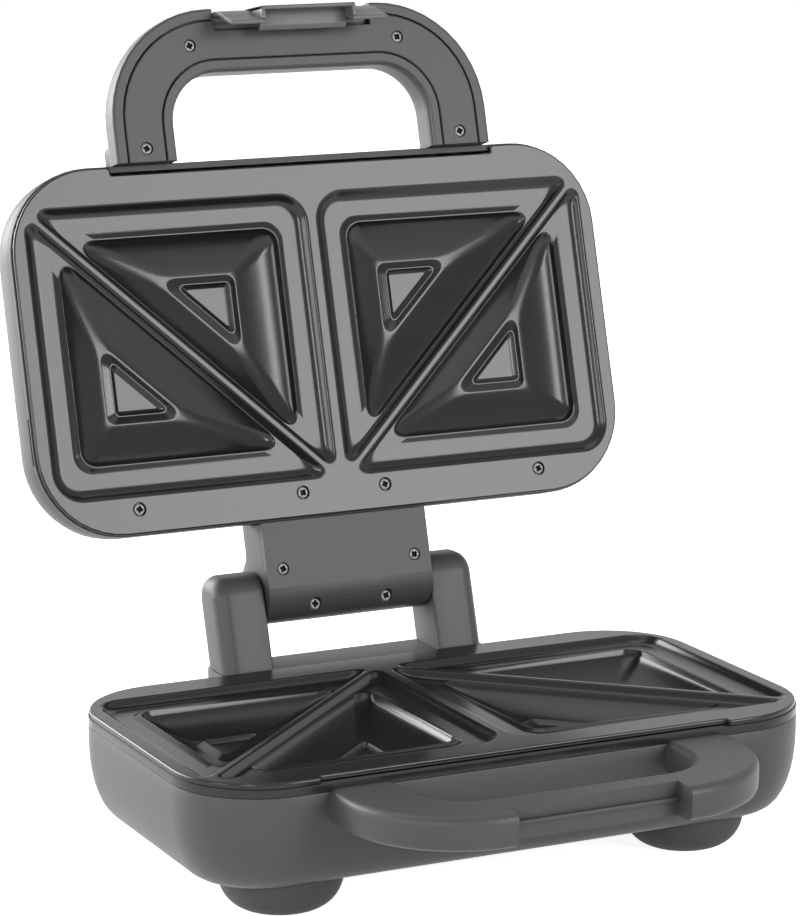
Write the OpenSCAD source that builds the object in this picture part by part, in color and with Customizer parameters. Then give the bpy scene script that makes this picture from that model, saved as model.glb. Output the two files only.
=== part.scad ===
// Two-slice sandwich toaster with deep triangular pockets, open at its stop.
// X runs across, Y from the handles to the hinge, Z up. Z = 0 is the surface that the feet stand on.
// Lid pieces are drawn as they lie when the lid is shut, and swung up about the hinge axis.

/* [Cooking plates] */
// Width of one pocket
pocket_w = 122.5; // [110:0.5:130]
// Depth of one pocket, front to back
pocket_d = 117.5; // [110:0.5:122]
// Bar between the two pockets
pocket_bar = 5; // [4:0.5:12]
// Rim outside the pockets at the sides
rim_side = 6; // [5:0.5:12]
// Rim outside the pockets at the front and the back
rim_end = 15.5; // [14.5:0.5:20]
// Corner radius of the plate rim
rim_corner_r = 35; // [28:1:40]
// Thickness of the plate flange
flange_t = 2; // [1.5:0.1:3]
// Depth of the crimping ledge below the rim
ledge_depth = 3; // [2.5:0.1:4]
// Width of the sloping wall between rim and ledge
ledge_slope = 4.2; // [3:0.1:5]
// Width of the diagonal rib's sloping walls
rib_slope = 2.9; // [2:0.1:3.2]
// Depth of the pocket floor below the rim
floor_depth = 12.5; // [10:0.5:15]
// Metal left under the pocket floor
floor_t = 2.5; // [2:0.5:4]
// Half width of the diagonal rib at its top
rib_half = 1.5; // [1:0.1:2.5]
// Inset of the bowl from the pocket's outer sides
bowl_inset = 13.5; // [12:0.5:15]
// Inset of the bowl from the diagonal
bowl_diag = 4.8; // [4.8:0.1:6]
// Inset of the floor triangle from the pocket's outer sides
floor_inset = 29.5; // [27:0.5:30]
// Inset of the floor triangle from the diagonal
floor_diag = 17.8; // [16:0.2:18]
// Inset of the triangular ridge's crest from the pocket's outer sides
ridge_inset = 33; // [33:0.2:34]
// Inset of the ridge's crest from the diagonal
ridge_diag = 21.2; // [21:0.2:22]
// Height of the ridge above the pocket floor
ridge_h = 1.6; // [0.8:0.1:2.4]
// Width of each of the ridge's two slopes
ridge_slope = 2.4; // [1.5:0.1:2.6]
// Height of the bead round each bowl
bead_h = 0.8; // [0.4:0.1:1.4]
// Width of the bead round each bowl
bead_w = 3.4; // [2:0.2:4]
// Gap between the two plate rims when the lid is shut
plate_gap = 0.4; // [0.4:0.1:1.5]
// Set-back of the rim behind the handles
notch_depth = 3.2; // [2:0.2:4]
// Width of that set-back
notch_w = 172; // [170:1:176]

/* [Base] */
// Height of the feet below the shell
foot_h = 15.5; // [12:0.5:20]
// Diameter of a foot where it meets the shell
foot_d = 48; // [36:1:52]
// Diameter of the flat under a foot
foot_pad_d = 24; // [18:1:30]
// Distance from the centre to a front foot, across
foot_x = 87; // [80:1:90]
// Distance from the centre to a front foot, front to back
foot_y = 37.5; // [34:0.5:37.5]
// Depth of the base shell below the plate rims' meeting plane
base_depth = 43.5; // [42:0.5:50]
// How far the base shell overhangs the plate rim
shell_lip = 0.6; // [0.3:0.1:1]
// Wall of the moulded shells
wall = 2.5; // [2:0.1:3]
// How far the base wall draws in at its foot
base_draw = 13; // [10:1:16]
// Height over which the base wall draws in
base_curve = 30; // [24:1:34]
// Height of the glossy ring under a plate rim
ring_h = 3.3; // [2.5:0.1:4]

/* [Handles] */
// Width of the handles
handle_w = 168; // [160:1:169]
// Width of a handle's leg
handle_leg = 26.5; // [25:0.5:28]
// Width of the base handle's grip, front to back
grip_w = 22; // [20:0.5:24]
// Reach of the base handle from the centre
base_handle_reach = 132.5; // [124:0.5:140]
// How far the lid handle reaches out beyond the base handle
lid_overhang = 4; // [3.5:0.5:6]
// Outer corner radius of the handles
handle_r = 46; // [40:1:48]
// Corner radius of the hand opening
window_r = 21; // [15:1:25]
// Thickness of the base handle
base_handle_t = 13.3; // [12:0.1:15]
// Thickness of the lid handle with its cover
lid_handle_t = 15; // [13:0.5:18]
// Thickness of the lid handle's cover
handle_cover_t = 2.2; // [1.8:0.1:3]
// Width of the border that the lid handle leaves round its cover
handle_border = 4.4; // [3:0.2:6]
// Depth below the plates' meeting plane at which the two handles meet
handle_meet = 4.4; // [3.5:0.1:5]

/* [Hinge] */
// Hinge axis behind the centre
hinge_y = 103.7; // [100:0.1:107]
// Hinge axis above the plates' meeting plane
hinge_z = 23.6; // [20:0.1:27]
// Angle to which the lid opens
open_angle = 105.6; // [95:0.1:110]
// Width of the hinge arm
arm_w = 74; // [66:1:80]
// Height of the shut arm's underside above the meeting plane
arm_low = 4; // [3:0.1:6]
// Thickness of the arm
arm_t = 21; // [18:0.5:24]
// Radius of the arm's lower corner
arm_nose_r = 14; // [12:0.5:15]
// Radius of the arm round the hinge axis
barrel_r = 12.3; // [11:0.1:13]
// Thickness of the arm's cover
arm_cover_t = 2.6; // [2:0.1:3.5]
// Gap at each side between the arm and a post
arm_gap = 0.7; // [0.4:0.1:1.5]
// Width of a hinge post
post_w = 21; // [18:0.5:24]
// Depth of a hinge post, front to back
post_d = 23.4; // [22:0.2:26]
// Backward lean of the posts
post_lean = 17; // [12:0.5:20]
// Radius of the top of a post
post_top_r = 9.5; // [8.5:0.1:10]
// Height of a post's top above the plates' meeting plane
post_top = 34.5; // [33.5:0.1:37]
// Depth of the bridge behind the plates below their meeting plane
bridge_drop = 3; // [2.6:0.1:4]
// Front of the posts' feet, behind the centre
post_front = 79.3; // [78.6:0.1:81]
// Radius of the hinge pins
pin_r = 5; // [4:0.1:5.5]
// Radius of the lead's passage through a hinge pin
pin_bore_r = 3; // [2:0.1:3.5]
// Running clearance of the hinge pins in the arm
pin_clear = 0.06; // [0.03:0.01:0.1]

/* [Lid] */
// Height of the shut lid above the plates' meeting plane
lid_h = 34; // [32:0.5:40]
// Rounding of the lid's upper edge
lid_round = 20; // [12:1:20]
// Radius of a lamp lens
lens_r = 3.4; // [2.5:0.1:4]
// Distance between the two lamp lenses
lens_pitch = 24; // [16:1:36]
// Lamp lenses in front of the centre
lens_front = 34; // [25:1:40]

/* [Latch] */
// Width of the latch
latch_w = 70; // [60:1:72]
// Width of the latch's raised middle
latch_mid_w = 42; // [34:1:48]
// How far the middle's lower edge stands out from the wings' lower edge
latch_mid_out = 5.8; // [5:0.2:6]
// Thickness of the latch
latch_t = 1.6; // [1.4:0.1:2]
// Lower edge of the latch below the plates' meeting plane
latch_low = 22; // [20:0.5:24]
// Angle at which the latch is clear of its catch
latch_release = 5.5; // [5.5:0.5:7]
// Bite of the latch's hook under its catch
hook_bite = 1; // [0.6:0.1:1]
// Radius of the latch's pivot pin
latch_pin_r = 1.25; // [1:0.05:1.5]
// Depth of the recess that the latch lies in
recess_depth = 10.5; // [10:0.5:12]
// Height of the catch below the top of the base handle
catch_drop = 5.6; // [4:0.2:7]

/* [Heater and fixings] */
// Diameter of the heating rod
rod_d = 6.6; // [5:0.1:7.5]
// Radius of the heating rod's bends
rod_bend_r = 14; // [10:1:18]
// Half length of the heating loop, across
rod_x = 94; // [80:1:98]
// Front leg of the heating loop, in front of the centre
rod_front = 34; // [28:1:37]
// Back legs of the heating loop, behind the centre
rod_back = 22; // [18:1:24]
// Length of the rod's two ends behind the back legs
rod_end = 20; // [15:1:20]
// Half distance between the rod's two ends
rod_end_x = 15; // [14.5:0.5:20]
// Thickness of the reflector sheets
sheet_t = 0.8; // [0.6:0.1:1.2]
// Radius of a screw's shank
screw_r = 1.35; // [1.2:0.05:1.5]
// Radius of a screw's head
head_r = 2.3; // [2.1:0.1:2.6]
// Height of a screw's head
head_h = 1.4; // [1.2:0.1:1.5]
// Radius of the passage for the mains lead
inlet_r = 3.6; // [3:0.1:4.5]
// Clearance between fixed pieces that seat on each other
seat = 0.1; // [0.05:0.05:0.2]

/* [Hidden] */
ROUND = 64;
SMALL = 32;
CORNER_STEPS = 8;
SIDES = [-1, 1];

// Overall plan of the plates
half_x = pocket_bar / 2 + pocket_w + rim_side;
half_y = pocket_d / 2 + rim_end;
pocket_x = (pocket_bar + pocket_w) / 2;
out_x = half_x + shell_lip;
out_y = half_y + shell_lip;
out_r = rim_corner_r + shell_lip;
root_y = out_y + seat;

// Heights, measured from the meeting plane of the shut plates
meet_z = base_depth + foot_h;
rim_top = -plate_gap / 2;
ledge_z = rim_top - ledge_depth;
floor_z = rim_top - floor_depth;
flange_low = plate_gap / 2 + flange_t;
ring_low = flange_low + seat + ring_h;
shell_edge = ring_low + seat;
tub_low = plate_gap / 2 + floor_depth + floor_t;
rod_z = tub_low + seat + rod_d / 2;
sheet_z = rod_z + rod_d / 2 + 2.2;
sheet_far = sheet_z + sheet_t;

// Plates
tub_wall = 2;
tub_x = pocket_w / 2 + tub_wall;
tub_y = pocket_d / 2 + tub_wall;
square_r = 12;
sharp_r = 3.2;
bead_part = 0.664;
bowl_r = 7;
bowl_sharp_r = 4.2;
boss_r = 4.2;
lid_boss_x = [for (k = [-0.69, -0.142, 0.142, 0.69]) k * half_x];
lid_boss_y = pocket_d / 2 + 5.6;
lid_boss_h = 8;
base_boss_x = 0.748 * half_x;
base_boss_y = tub_y + 3.7;
screw_clear = 0.15;
head_clear = 0.4;
bite = 9;

// Trim rings
ring_side = out_x - pocket_x - tub_x - 0.4;
ring_end = out_y - base_boss_y - boss_r - 0.7;
slot_y = 33.5;
slot_l = 19;
slot_h = 1.4;

// Base shell
CURVE_STEPS = 8;
column_r = 6;
column_top = tub_low + seat;
shelf = 3;
foot_boss_r = 6;
foot_boss_h = 9;
post_in = arm_w / 2 + arm_gap;
post_mid = post_in + post_w / 2;
post_back = post_front + post_d;
bridge_back = post_back + 0.6;
bridge_half = post_in + post_w + 0.5;
block_r = 12;
block_corner = 6;
gland_z = -13;
gland_neck = inlet_r + 2.2;
support_x = 60;
peg_y = -6;
support_r = 4;
peg_r = 1.6;
rear_foot_x = bridge_half - foot_d / 2 - 1.2;
rear_foot_y = bridge_back - block_r - foot_d / 2;
feet = [[-foot_x, -foot_y], [foot_x, -foot_y], [-rear_foot_x, rear_foot_y], [rear_foot_x, rear_foot_y]];
foot_sink = 6;

// Hinge
post_fillet = 6;
post_edge = 1;
post_lean_y = (post_top - post_top_r + bridge_drop) * tan(post_lean);
post_screw_x = 6.3;
post_screw_y = post_front + 11;
post_lead_x = post_mid - 0.5;
lead_r = 3.4;
pin_in = 14;
pin_out = 6.4;
fit = 0.02;
cavity_half = arm_w / 2 - pin_in - 0.6;
arm_end = hinge_y + barrel_r;
nose_y = arm_end - arm_nose_r;
nose_z = arm_low + arm_nose_r;
arm_far = arm_low + arm_t;
heel_y = hinge_y - 15.7;
cover_split = nose_z;
cover_screw_x = 29.8;
cover_screw_y = hinge_y - 9.3;
nose_screw_x = 16.1;
nose_screw_y = hinge_y + 6.3;
nose_seat_z = arm_low + 4.6;
mount_z = lid_h - lid_round - head_r;
mount_x = [for (k = [-0.39, -0.2, 0.2, 0.39]) k * arm_w];
lead_z = 11.5;

// Handles
lid_handle_reach = base_handle_reach + lid_overhang;
window_x = handle_w / 2 - handle_leg;
window_reach = base_handle_reach - grip_w;
base_handle_top = handle_meet + plate_gap / 2;
base_handle_low = base_handle_top + base_handle_t;
lid_face = handle_meet - plate_gap / 2;
recess_half = latch_w / 2 + 0.6;
recess_back = recess_depth - base_handle_reach;
catch_z = base_handle_top + catch_drop;
catch_t = 1.5;
catch_out = 2.4;
leg_edge = 7;
leg_screw_x = [for (side = SIDES, x = [window_x + leg_edge, handle_w / 2 - leg_edge]) side * x];
leg_screw_z = -(base_handle_top + base_handle_low) / 2;
pad_x = window_x + 4.5;
pad_w = handle_leg - 6.5;
pad_top = lid_h / 2;
pad_out = 9;
lid_leg_x = [for (side = SIDES, x = [pad_x + 2, pad_x + pad_w - 6]) side * x];
cover_screws = [[window_x - 10.6, -window_reach - grip_w / 2], [window_x + handle_leg / 2, -root_y - 5.35]];

// Latch, as it lies when it holds the lid shut
pivot_y = -base_handle_reach + 2.5;
pivot_z = 1.5;
knuckle_r = latch_pin_r + 1.6;
pocket_back = pivot_y + knuckle_r + 0.6;
pocket_top = pivot_z + 4.5;
nose_tip = recess_back - catch_out + hook_bite;
nose_top = -catch_z - catch_t - 0.3;
wing_y = recess_back - 1.8;
latch_out = pivot_y - 4.4;
latch_root = 1.5;
grip_lean = 0.4;
grip_foot = wing_y - latch_t - latch_mid_out;
pin_hold = 4;
// Parts of the wing's reach and depth along its curve, and its wall there in parts of the thickness
WING_CURVE = [[0, 0.227], [0.122, 0.409], [0.4, 0.614], [0.733, 0.8]];
WING_WALL = [[1.1, 0.25], [1, 0.4], [0.88, 0.75], [0.8, 0.75]];

// Model is centred front to back on its own box with the lid at its stop
back_y = hinge_y - cos(open_angle) * (hinge_y + out_y - lid_round)
    + sin(open_angle) * (lid_h - lid_round - hinge_z) + lid_round;
shift_y = (base_handle_reach - back_y) / 2;

// ---------- shared shapes ----------

function unit(v) = v / norm(v);

// Arc of points that rounds corner b between a and c
function corner_arc(a, b, c, r, steps) =
    let (u = unit(a - b), v = unit(c - b),
         half = acos(u * v) / 2,
         mid = b + unit(u + v) * r / sin(half),
         from = b + u * r / tan(half) - mid,
         to = b + v * r / tan(half) - mid,
         a0 = atan2(from[1], from[0]),
         turn = atan2(from[0] * to[1] - from[1] * to[0], from * to))
    [for (i = [0:steps]) mid + r * [cos(a0 + turn * i / steps), sin(a0 + turn * i / steps)]];

function rounded(points, radii, steps = CORNER_STEPS) =
    let (n = len(points))
    [for (i = [0:n - 1])
        each corner_arc(points[(i + n - 1) % n], points[i], points[(i + 1) % n], radii[i], steps)];

function box_ring(x, y, r, inset, z, steps = CORNER_STEPS) =
    [for (p = rounded([[-x + inset, -y + inset], [x - inset, -y + inset],
                       [x - inset, y - inset], [-x + inset, y - inset]],
                      [r - inset, r - inset, r - inset, r - inset], steps)) [p[0], p[1], z]];

// Solid through rings of equal count, listed from low to high, each anticlockwise from above
module loft(rings) {
    n = len(rings[0]);
    layers = len(rings);
    points = [for (ring = rings) each ring];
    sides = [for (k = [0:layers - 2], i = [0:n - 1])
        each [[k * n + i, (k + 1) * n + (i + 1) % n, k * n + (i + 1) % n],
              [k * n + i, (k + 1) * n + i, (k + 1) * n + (i + 1) % n]]];
    bottom = [for (i = [0:n - 1]) i];
    top = [for (i = [0:n - 1]) (layers - 1) * n + n - 1 - i];
    polyhedron(points, concat(sides, [bottom, top]));
}

module rounded_plan(x, y, r) {
    circles = [for (i = SIDES, j = SIDES) [i * (x - r), j * (y - r)]];
    square([2 * x, 2 * (y - r)], center = true);
    square([2 * (x - r), 2 * y], center = true);
    for (c = circles)
        translate(c) circle(r, $fn = ROUND);
}

// Extrudes a profile drawn in (y, z) along X, from x0 to x1
module along_x(x0, x1) {
    translate([x0, 0, 0]) rotate([90, 0, 90]) linear_extrude(x1 - x0) children();
}

// Straight rod between two points
module rod(from, to, r, fn = SMALL) {
    d = to - from;
    translate(from)
        rotate([0, acos(d[2] / norm(d)), atan2(d[1], d[0])])
            cylinder(h = norm(d), r = r, $fn = fn);
}

// Pan head and shank that points down from z = 0, with a cross recess in the head
module screw(length, r = screw_r, head = head_r, cap = head_h) {
    difference() {
        union() {
            cylinder(h = cap, r = head, $fn = SMALL);
            translate([0, 0, -length]) cylinder(h = length + seat, r = r, $fn = SMALL);
        }
        for (turn = [0, 90])
            rotate([0, 0, turn])
                translate([-head * 0.65, -0.35, cap * 0.45]) cube([head * 1.3, 0.7, cap]);
    }
}

// ---------- frames ----------

module in_base() {
    translate([0, shift_y, meet_z]) children();
}

module in_lid() {
    translate([0, shift_y + hinge_y, meet_z + hinge_z])
        rotate([-open_angle, 0, 0])
            translate([0, -hinge_y, -hinge_z]) children();
}

// The latch rests a little swung out, clear of its catch
module in_latch() {
    in_lid()
        translate([0, pivot_y, pivot_z])
            rotate([-latch_release, 0, 0])
                translate([0, -pivot_y, -pivot_z]) children();
}

// ---------- cooking plates ----------
// Both are drawn as the lower one, with their cooking side up and z = 0 on the meeting plane

// Corners of the triangle that holds the pocket's outer back corner, inset from the
// pocket's two sides by a and from its diagonal by b
function half_pocket(a, b) =
    let (hx = pocket_w / 2, hy = pocket_d / 2, diag = norm([hx, hy]),
         x = -hx + a, y = hy - a)
    [[x, y], [x, (b * diag + hy * x) / hx], [(hx * y - b * diag) / hy, y]];

function pocket_ring(a, b, r_square, r_sharp, z) =
    [for (p = rounded(half_pocket(a, b), [r_square, r_sharp, r_sharp])) [p[0], p[1], z]];

// Places its children in each half of each pocket
module each_half() {
    for (side = [0, 1])
        mirror([side, 0, 0])
            translate([-pocket_x, 0, 0])
                for (turn = [0, 180])
                    rotate([0, 0, turn]) children();
}

module half_recess() {
    over = 1;
    loft([pocket_ring(ledge_slope, rib_half + rib_slope, square_r - ledge_slope, sharp_r, ledge_z),
          pocket_ring(0, rib_half, square_r, sharp_r, rim_top),
          pocket_ring(0, rib_half, square_r, sharp_r, rim_top + over)]);
}

// Bowl that steepens from its floor up to the ledge
module half_bowl() {
    deep = ledge_z - floor_z;
    levels = 6;
    wide = floor_inset - bowl_inset;
    wide_diag = floor_diag - bowl_diag;
    soft = 3;
    loft(concat([for (i = [0:levels])
                    let (part = i / levels)
                    pocket_ring(floor_inset - wide * part, floor_diag - wide_diag * part,
                                soft + (bowl_r - soft) * part, soft + (bowl_sharp_r - soft) * part,
                                floor_z + deep * part * part)],
                [pocket_ring(bowl_inset, bowl_diag, bowl_r, bowl_sharp_r, ledge_z + bead_h + seat)]));
}

// Triangular ridge round the middle of the floor
module half_ridge() {
    top = floor_z + ridge_h;
    crest = 0.15;
    foot = ridge_slope + crest;
    difference() {
        loft([pocket_ring(ridge_inset - foot, ridge_diag - foot, 4, 3.6, floor_z - seat),
              pocket_ring(ridge_inset - crest, ridge_diag - crest, 2.6, 2.3, top)]);
        loft([pocket_ring(ridge_inset + foot, ridge_diag + foot, 0.8, 0.7, floor_z),
              pocket_ring(ridge_inset + crest, ridge_diag + crest, 2.4, 2.1, top),
              pocket_ring(ridge_inset + crest, ridge_diag + crest, 2.4, 2.1, top + seat)]);
    }
}

// Bead on the ledge along the bowl's two outer sides
module half_bead() {
    low = ledge_z - seat;
    high = ledge_z + bead_h;
    long = bead_part * pocket_d;
    crest = bead_w * 0.15;
    difference() {
        loft([pocket_ring(bowl_inset - bead_w, bowl_diag, bowl_r + 2, bowl_sharp_r, low),
              pocket_ring(bowl_inset - crest, bowl_diag, bowl_r, bowl_sharp_r, high)]);
        loft([pocket_ring(bowl_inset, bowl_diag - 1, bowl_r, bowl_sharp_r, low - 1),
              pocket_ring(bowl_inset, bowl_diag - 1, bowl_r, bowl_sharp_r, high + 1)]);
        translate([-pocket_w / 2 + bowl_inset, pocket_d / 2 - bowl_inset, 0])
            difference() {
                cube([4 * pocket_w, 4 * pocket_d, 4 * floor_depth], center = true);
                translate([long - 2 * pocket_w, 2 * pocket_d - long, 0])
                    cube([4 * pocket_w, 4 * pocket_d, 5 * floor_depth], center = true);
            }
    }
}

// Outline of both tubs, grown by g
module tub_plan(g) {
    for (side = SIDES)
        translate([side * pocket_x, 0])
            rounded_plan(tub_x + g, tub_y + g, square_r + tub_wall + g);
}

module plate_body() {
    deep = tub_low - plate_gap / 2 - flange_t / 2;
    difference() {
        translate([0, 0, rim_top - flange_t])
            linear_extrude(flange_t) rounded_plan(half_x, half_y, rim_corner_r);
        translate([-notch_w / 2, -half_y - 1, -2 * flange_t])
            cube([notch_w, notch_depth + 1, 4 * flange_t]);
        each_half() half_recess();
    }
    difference() {
        translate([0, 0, -tub_low]) linear_extrude(deep) tub_plan(0);
        each_half() {
            half_recess();
            half_bowl();
        }
    }
    each_half() half_ridge();
    each_half() half_bead();
}

module lower_plate() {
    color([0.26, 0.26, 0.27]) in_base() {
        plate_body();
        for (x = SIDES, y = SIDES)
            translate([x * base_boss_x, y * base_boss_y, -tub_low])
                difference() {
                    cylinder(h = tub_low - flange_low + seat, r = boss_r, $fn = SMALL);
                    translate([0, 0, -seat]) cylinder(h = bite + seat, r = screw_r + fit, $fn = SMALL);
                }
    }
}

// Screws run up through the base's columns into the plate
module lower_plate_screws() {
    under = column_top + shelf;
    color("silver") in_base()
        for (x = SIDES, y = SIDES)
            translate([x * base_boss_x, y * base_boss_y, -under])
                mirror([0, 0, 1]) screw(shelf + seat + bite - 1);
}

module upper_plate() {
    head_deep = head_h + 0.1;
    color([0.26, 0.26, 0.27]) in_lid() mirror([0, 0, 1])
        difference() {
            union() {
                plate_body();
                for (x = lid_boss_x)
                    translate([x, lid_boss_y, -lid_boss_h])
                        cylinder(h = lid_boss_h - flange_low + seat, r = boss_r, $fn = SMALL);
            }
            for (x = lid_boss_x)
                translate([x, lid_boss_y, -lid_boss_h - 1]) {
                    cylinder(h = lid_boss_h + 2, r = screw_r + screw_clear, $fn = SMALL);
                    translate([0, 0, lid_boss_h + 1 + rim_top - head_deep])
                        cylinder(h = head_deep + 1, r = head_r + head_clear, $fn = SMALL);
                }
        }
}

module upper_plate_screws() {
    under = plate_gap / 2 + head_h + 0.1;
    color("silver") in_lid()
        for (x = lid_boss_x)
            translate([x, lid_boss_y, under])
                mirror([0, 0, 1]) rotate([0, 0, 35]) screw(lid_boss_h - under + bite);
}

// ---------- trim rings ----------

module trim_ring() {
    linear_extrude(ring_h)
        difference() {
            rounded_plan(out_x, out_y, out_r);
            rounded_plan(out_x - ring_side, out_y - ring_end, out_r - ring_end);
            tub_plan(0.4);
        }
}

module base_trim_ring() {
    color([0.1, 0.1, 0.11]) in_base() translate([0, 0, -ring_low]) trim_ring();
}

module lid_trim_ring() {
    color([0.1, 0.1, 0.11]) in_lid()
        difference() {
            translate([0, 0, flange_low + seat]) trim_ring();
            for (side = SIDES)
                translate([side * out_x, slot_y, flange_low + seat + ring_h / 2])
                    cube([2 * slot_h, slot_l, slot_h], center = true);
        }
}

// ---------- heaters ----------

// Quarter bend of the rod in the corner of a leg along x and a leg along y
module bend(x, y, turn) {
    translate([x, y, 0]) rotate([0, 0, turn])
        rotate_extrude(angle = 90, $fn = ROUND)
            translate([rod_bend_r, 0]) circle(rod_d / 2, $fn = SMALL);
}

module element() {
    r = rod_d / 2;
    b = rod_bend_r;
    thin = 0.45 * r;
    tail = 2.8;
    for (side = [0, 1]) mirror([side, 0, 0]) {
        rod([-0.01, -rod_front, 0], [rod_x - b, -rod_front, 0], r);
        rod([rod_x, -rod_front + b, 0], [rod_x, rod_back - b, 0], r);
        rod([rod_x - b, rod_back, 0], [rod_end_x + b, rod_back, 0], r);
        rod([rod_end_x, rod_back + b, 0], [rod_end_x, rod_back + rod_end, 0], r);
        rod([rod_end_x, rod_back + rod_end - 1, 0], [rod_end_x, rod_back + rod_end + tail, 0], thin);
        bend(rod_x - b, -rod_front + b, 270);
        bend(rod_x - b, rod_back - b, 0);
        bend(rod_end_x + b, rod_back + b, 180);
    }
}

module lower_element() {
    color([0.55, 0.54, 0.5]) in_base() translate([0, 0, -rod_z]) element();
}

module upper_element() {
    color([0.55, 0.54, 0.5]) in_lid() translate([0, 0, rod_z]) element();
}

// Spring saddles that press the rod to the plate, over its two long legs
module element_clips() {
    gap = 0.15;
    inner = rod_d / 2 + gap;
    w = 10;
    foot = 7;
    for (x = [-support_x, support_x], y = [-rod_front, rod_back])
        translate([x - w / 2, y, 0]) {
            along_x(0, w)
                difference() {
                    circle(inner + sheet_t, $fn = SMALL);
                    circle(inner, $fn = SMALL);
                    translate([-2 * inner, -2 * inner]) square([4 * inner, 2 * inner]);
                }
            for (side = SIDES)
                translate([0, side * (inner + sheet_t / 2) - sheet_t / 2, seat - inner])
                    cube([w, sheet_t, inner - seat + 0.01]);
            for (side = SIDES)
                translate([0, side * (inner + foot / 2) - foot / 2, seat - inner])
                    cube([w, foot, sheet_t]);
        }
}

module lower_element_clips() {
    color([0.7, 0.7, 0.68]) in_base() translate([0, 0, -rod_z]) mirror([0, 0, 1]) element_clips();
}

module upper_element_clips() {
    color([0.7, 0.7, 0.68]) in_lid() translate([0, 0, rod_z]) element_clips();
}

// Sheet with its edges turned up towards the plate, drawn on the far side of it
module reflector() {
    x = 108;
    y = 46;
    lip = 6;
    r = 8;
    translate([0, 0, sheet_z])
        linear_extrude(sheet_t)
            difference() {
                rounded_plan(x, y, r);
                for (i = SIDES)
                    translate([i * support_x, peg_y]) circle(peg_r + 0.2, $fn = SMALL);
            }
    translate([0, 0, sheet_z - lip])
        linear_extrude(lip)
            difference() {
                rounded_plan(x, y, r);
                rounded_plan(x - sheet_t, y - sheet_t, r - sheet_t);
            }
}

module lower_reflector() {
    color([0.8, 0.8, 0.78]) in_base() mirror([0, 0, 1]) reflector();
}

module upper_reflector() {
    color([0.8, 0.8, 0.78]) in_lid() reflector();
}

// Pegs that carry a reflector, from the height z of the shell's inside
module reflector_pegs(z) {
    tip = 1;
    for (i = SIDES)
        translate([i * support_x, peg_y, 0]) {
            translate([0, 0, sheet_far + seat])
                cylinder(h = z - sheet_far, r = support_r, $fn = SMALL);
            translate([0, 0, sheet_z - tip])
                cylinder(h = z - sheet_z, r = peg_r, $fn = SMALL);
        }
}

// ---------- base ----------

// Rings of the base tub from low to high, moved in by t from the outside
function base_rings(t, top) =
    let (bend_z = base_depth - base_curve, deep = base_curve - t)
    concat([for (i = [CURVE_STEPS:-1:0])
                let (a = 90 * i / CURVE_STEPS)
                box_ring(out_x, out_y, out_r, t + base_draw * (1 - cos(a)), -bend_z - deep * sin(a))],
           [box_ring(out_x, out_y, out_r, t, top)]);

// Side view of the block under the hinge, moved in by t
module block_side(from, t) {
    r = block_r - t;
    y = bridge_back - t;
    low = -base_depth + t;
    high = -bridge_drop - t;
    translate([from, low]) square([y - r - from, high - low]);
    translate([from, low + r]) square([y - from, high - low - r]);
    translate([y - r, low + r]) circle(r, $fn = ROUND);
}

module block(from, t) {
    intersection() {
        along_x(-bridge_half + t, bridge_half - t) block_side(from, t);
        translate([0, 0, -base_depth])
            linear_extrude(base_depth) rounded_plan(bridge_half - t, bridge_back - t, block_corner - t);
    }
}

module base_columns() {
    for (x = SIDES, y = SIDES)
        translate([x * base_boss_x, y * base_boss_y, -base_depth])
            cylinder(h = base_depth - column_top, r = column_r, $fn = SMALL);
}

module base_shell() {
    from = tub_y;
    hollow = root_y + wall;
    duct_x = 34;
    duct = [-28, -12];
    hole_r = head_r + head_clear;
    color([0.3, 0.3, 0.31]) in_base()
        difference() {
            union() {
                difference() {
                    union() {
                        loft(base_rings(0, -shell_edge));
                        difference() {
                            block(from, 0);
                            translate([-2 * bridge_half, -root_y, -shell_edge])
                                cube([4 * bridge_half, 2 * root_y, shell_edge]);
                        }
                    }
                    loft(base_rings(wall, 0));
                    block(hollow, wall);
                    translate([-duct_x, from, duct[0]])
                        cube([2 * duct_x, hollow - from + 1, duct[1] - duct[0]]);
                }
                intersection() {
                    base_columns();
                    loft(base_rings(0, -shell_edge));
                }
                for (p = feet)
                    translate([p[0], p[1], -base_depth + 1])
                        cylinder(h = foot_boss_h, r = foot_boss_r, $fn = SMALL);
                mirror([0, 0, 1]) reflector_pegs(base_depth - 1);
            }
            for (x = SIDES, y = SIDES)
                translate([x * base_boss_x, y * base_boss_y, -base_depth - 1]) {
                    cylinder(h = base_depth + 1 - column_top - shelf, r = hole_r, $fn = SMALL);
                    cylinder(h = base_depth + 2 - column_top, r = screw_r + screw_clear, $fn = SMALL);
                }
            for (p = feet)
                translate([p[0], p[1], -base_depth - 1])
                    cylinder(h = foot_boss_h, r = screw_r + fit, $fn = SMALL);
            for (x = leg_screw_x)
                rod([x, -root_y - 1, leg_screw_z], [x, -tub_y, leg_screw_z], screw_r + screw_clear);
            for (side = SIDES) {
                for (x = SIDES)
                    translate([side * post_lead_x + x * post_screw_x, post_screw_y, -bridge_drop - wall - 1])
                        cylinder(h = wall + 2, r = screw_r + screw_clear, $fn = SMALL);
                translate([side * post_lead_x, post_screw_y, -bridge_drop - wall - 1])
                    cylinder(h = wall + 2, r = lead_r, $fn = SMALL);
            }
            rod([0, bridge_back - wall - 1, gland_z], [0, bridge_back + 1, gland_z], gland_neck + fit);
        }
}

// Bush that the mains lead passes through
module cord_gland() {
    flange = gland_neck + 2;
    lip = 2.5;
    y = bridge_back - wall - 3;
    color([0.12, 0.12, 0.12]) in_base()
        difference() {
            union() {
                rod([0, y, gland_z], [0, bridge_back + lip, gland_z], gland_neck, ROUND);
                rod([0, bridge_back + seat, gland_z], [0, bridge_back + lip, gland_z], flange, ROUND);
            }
            rod([0, y - 1, gland_z], [0, bridge_back + lip + 1, gland_z], inlet_r, ROUND);
        }
}

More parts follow.
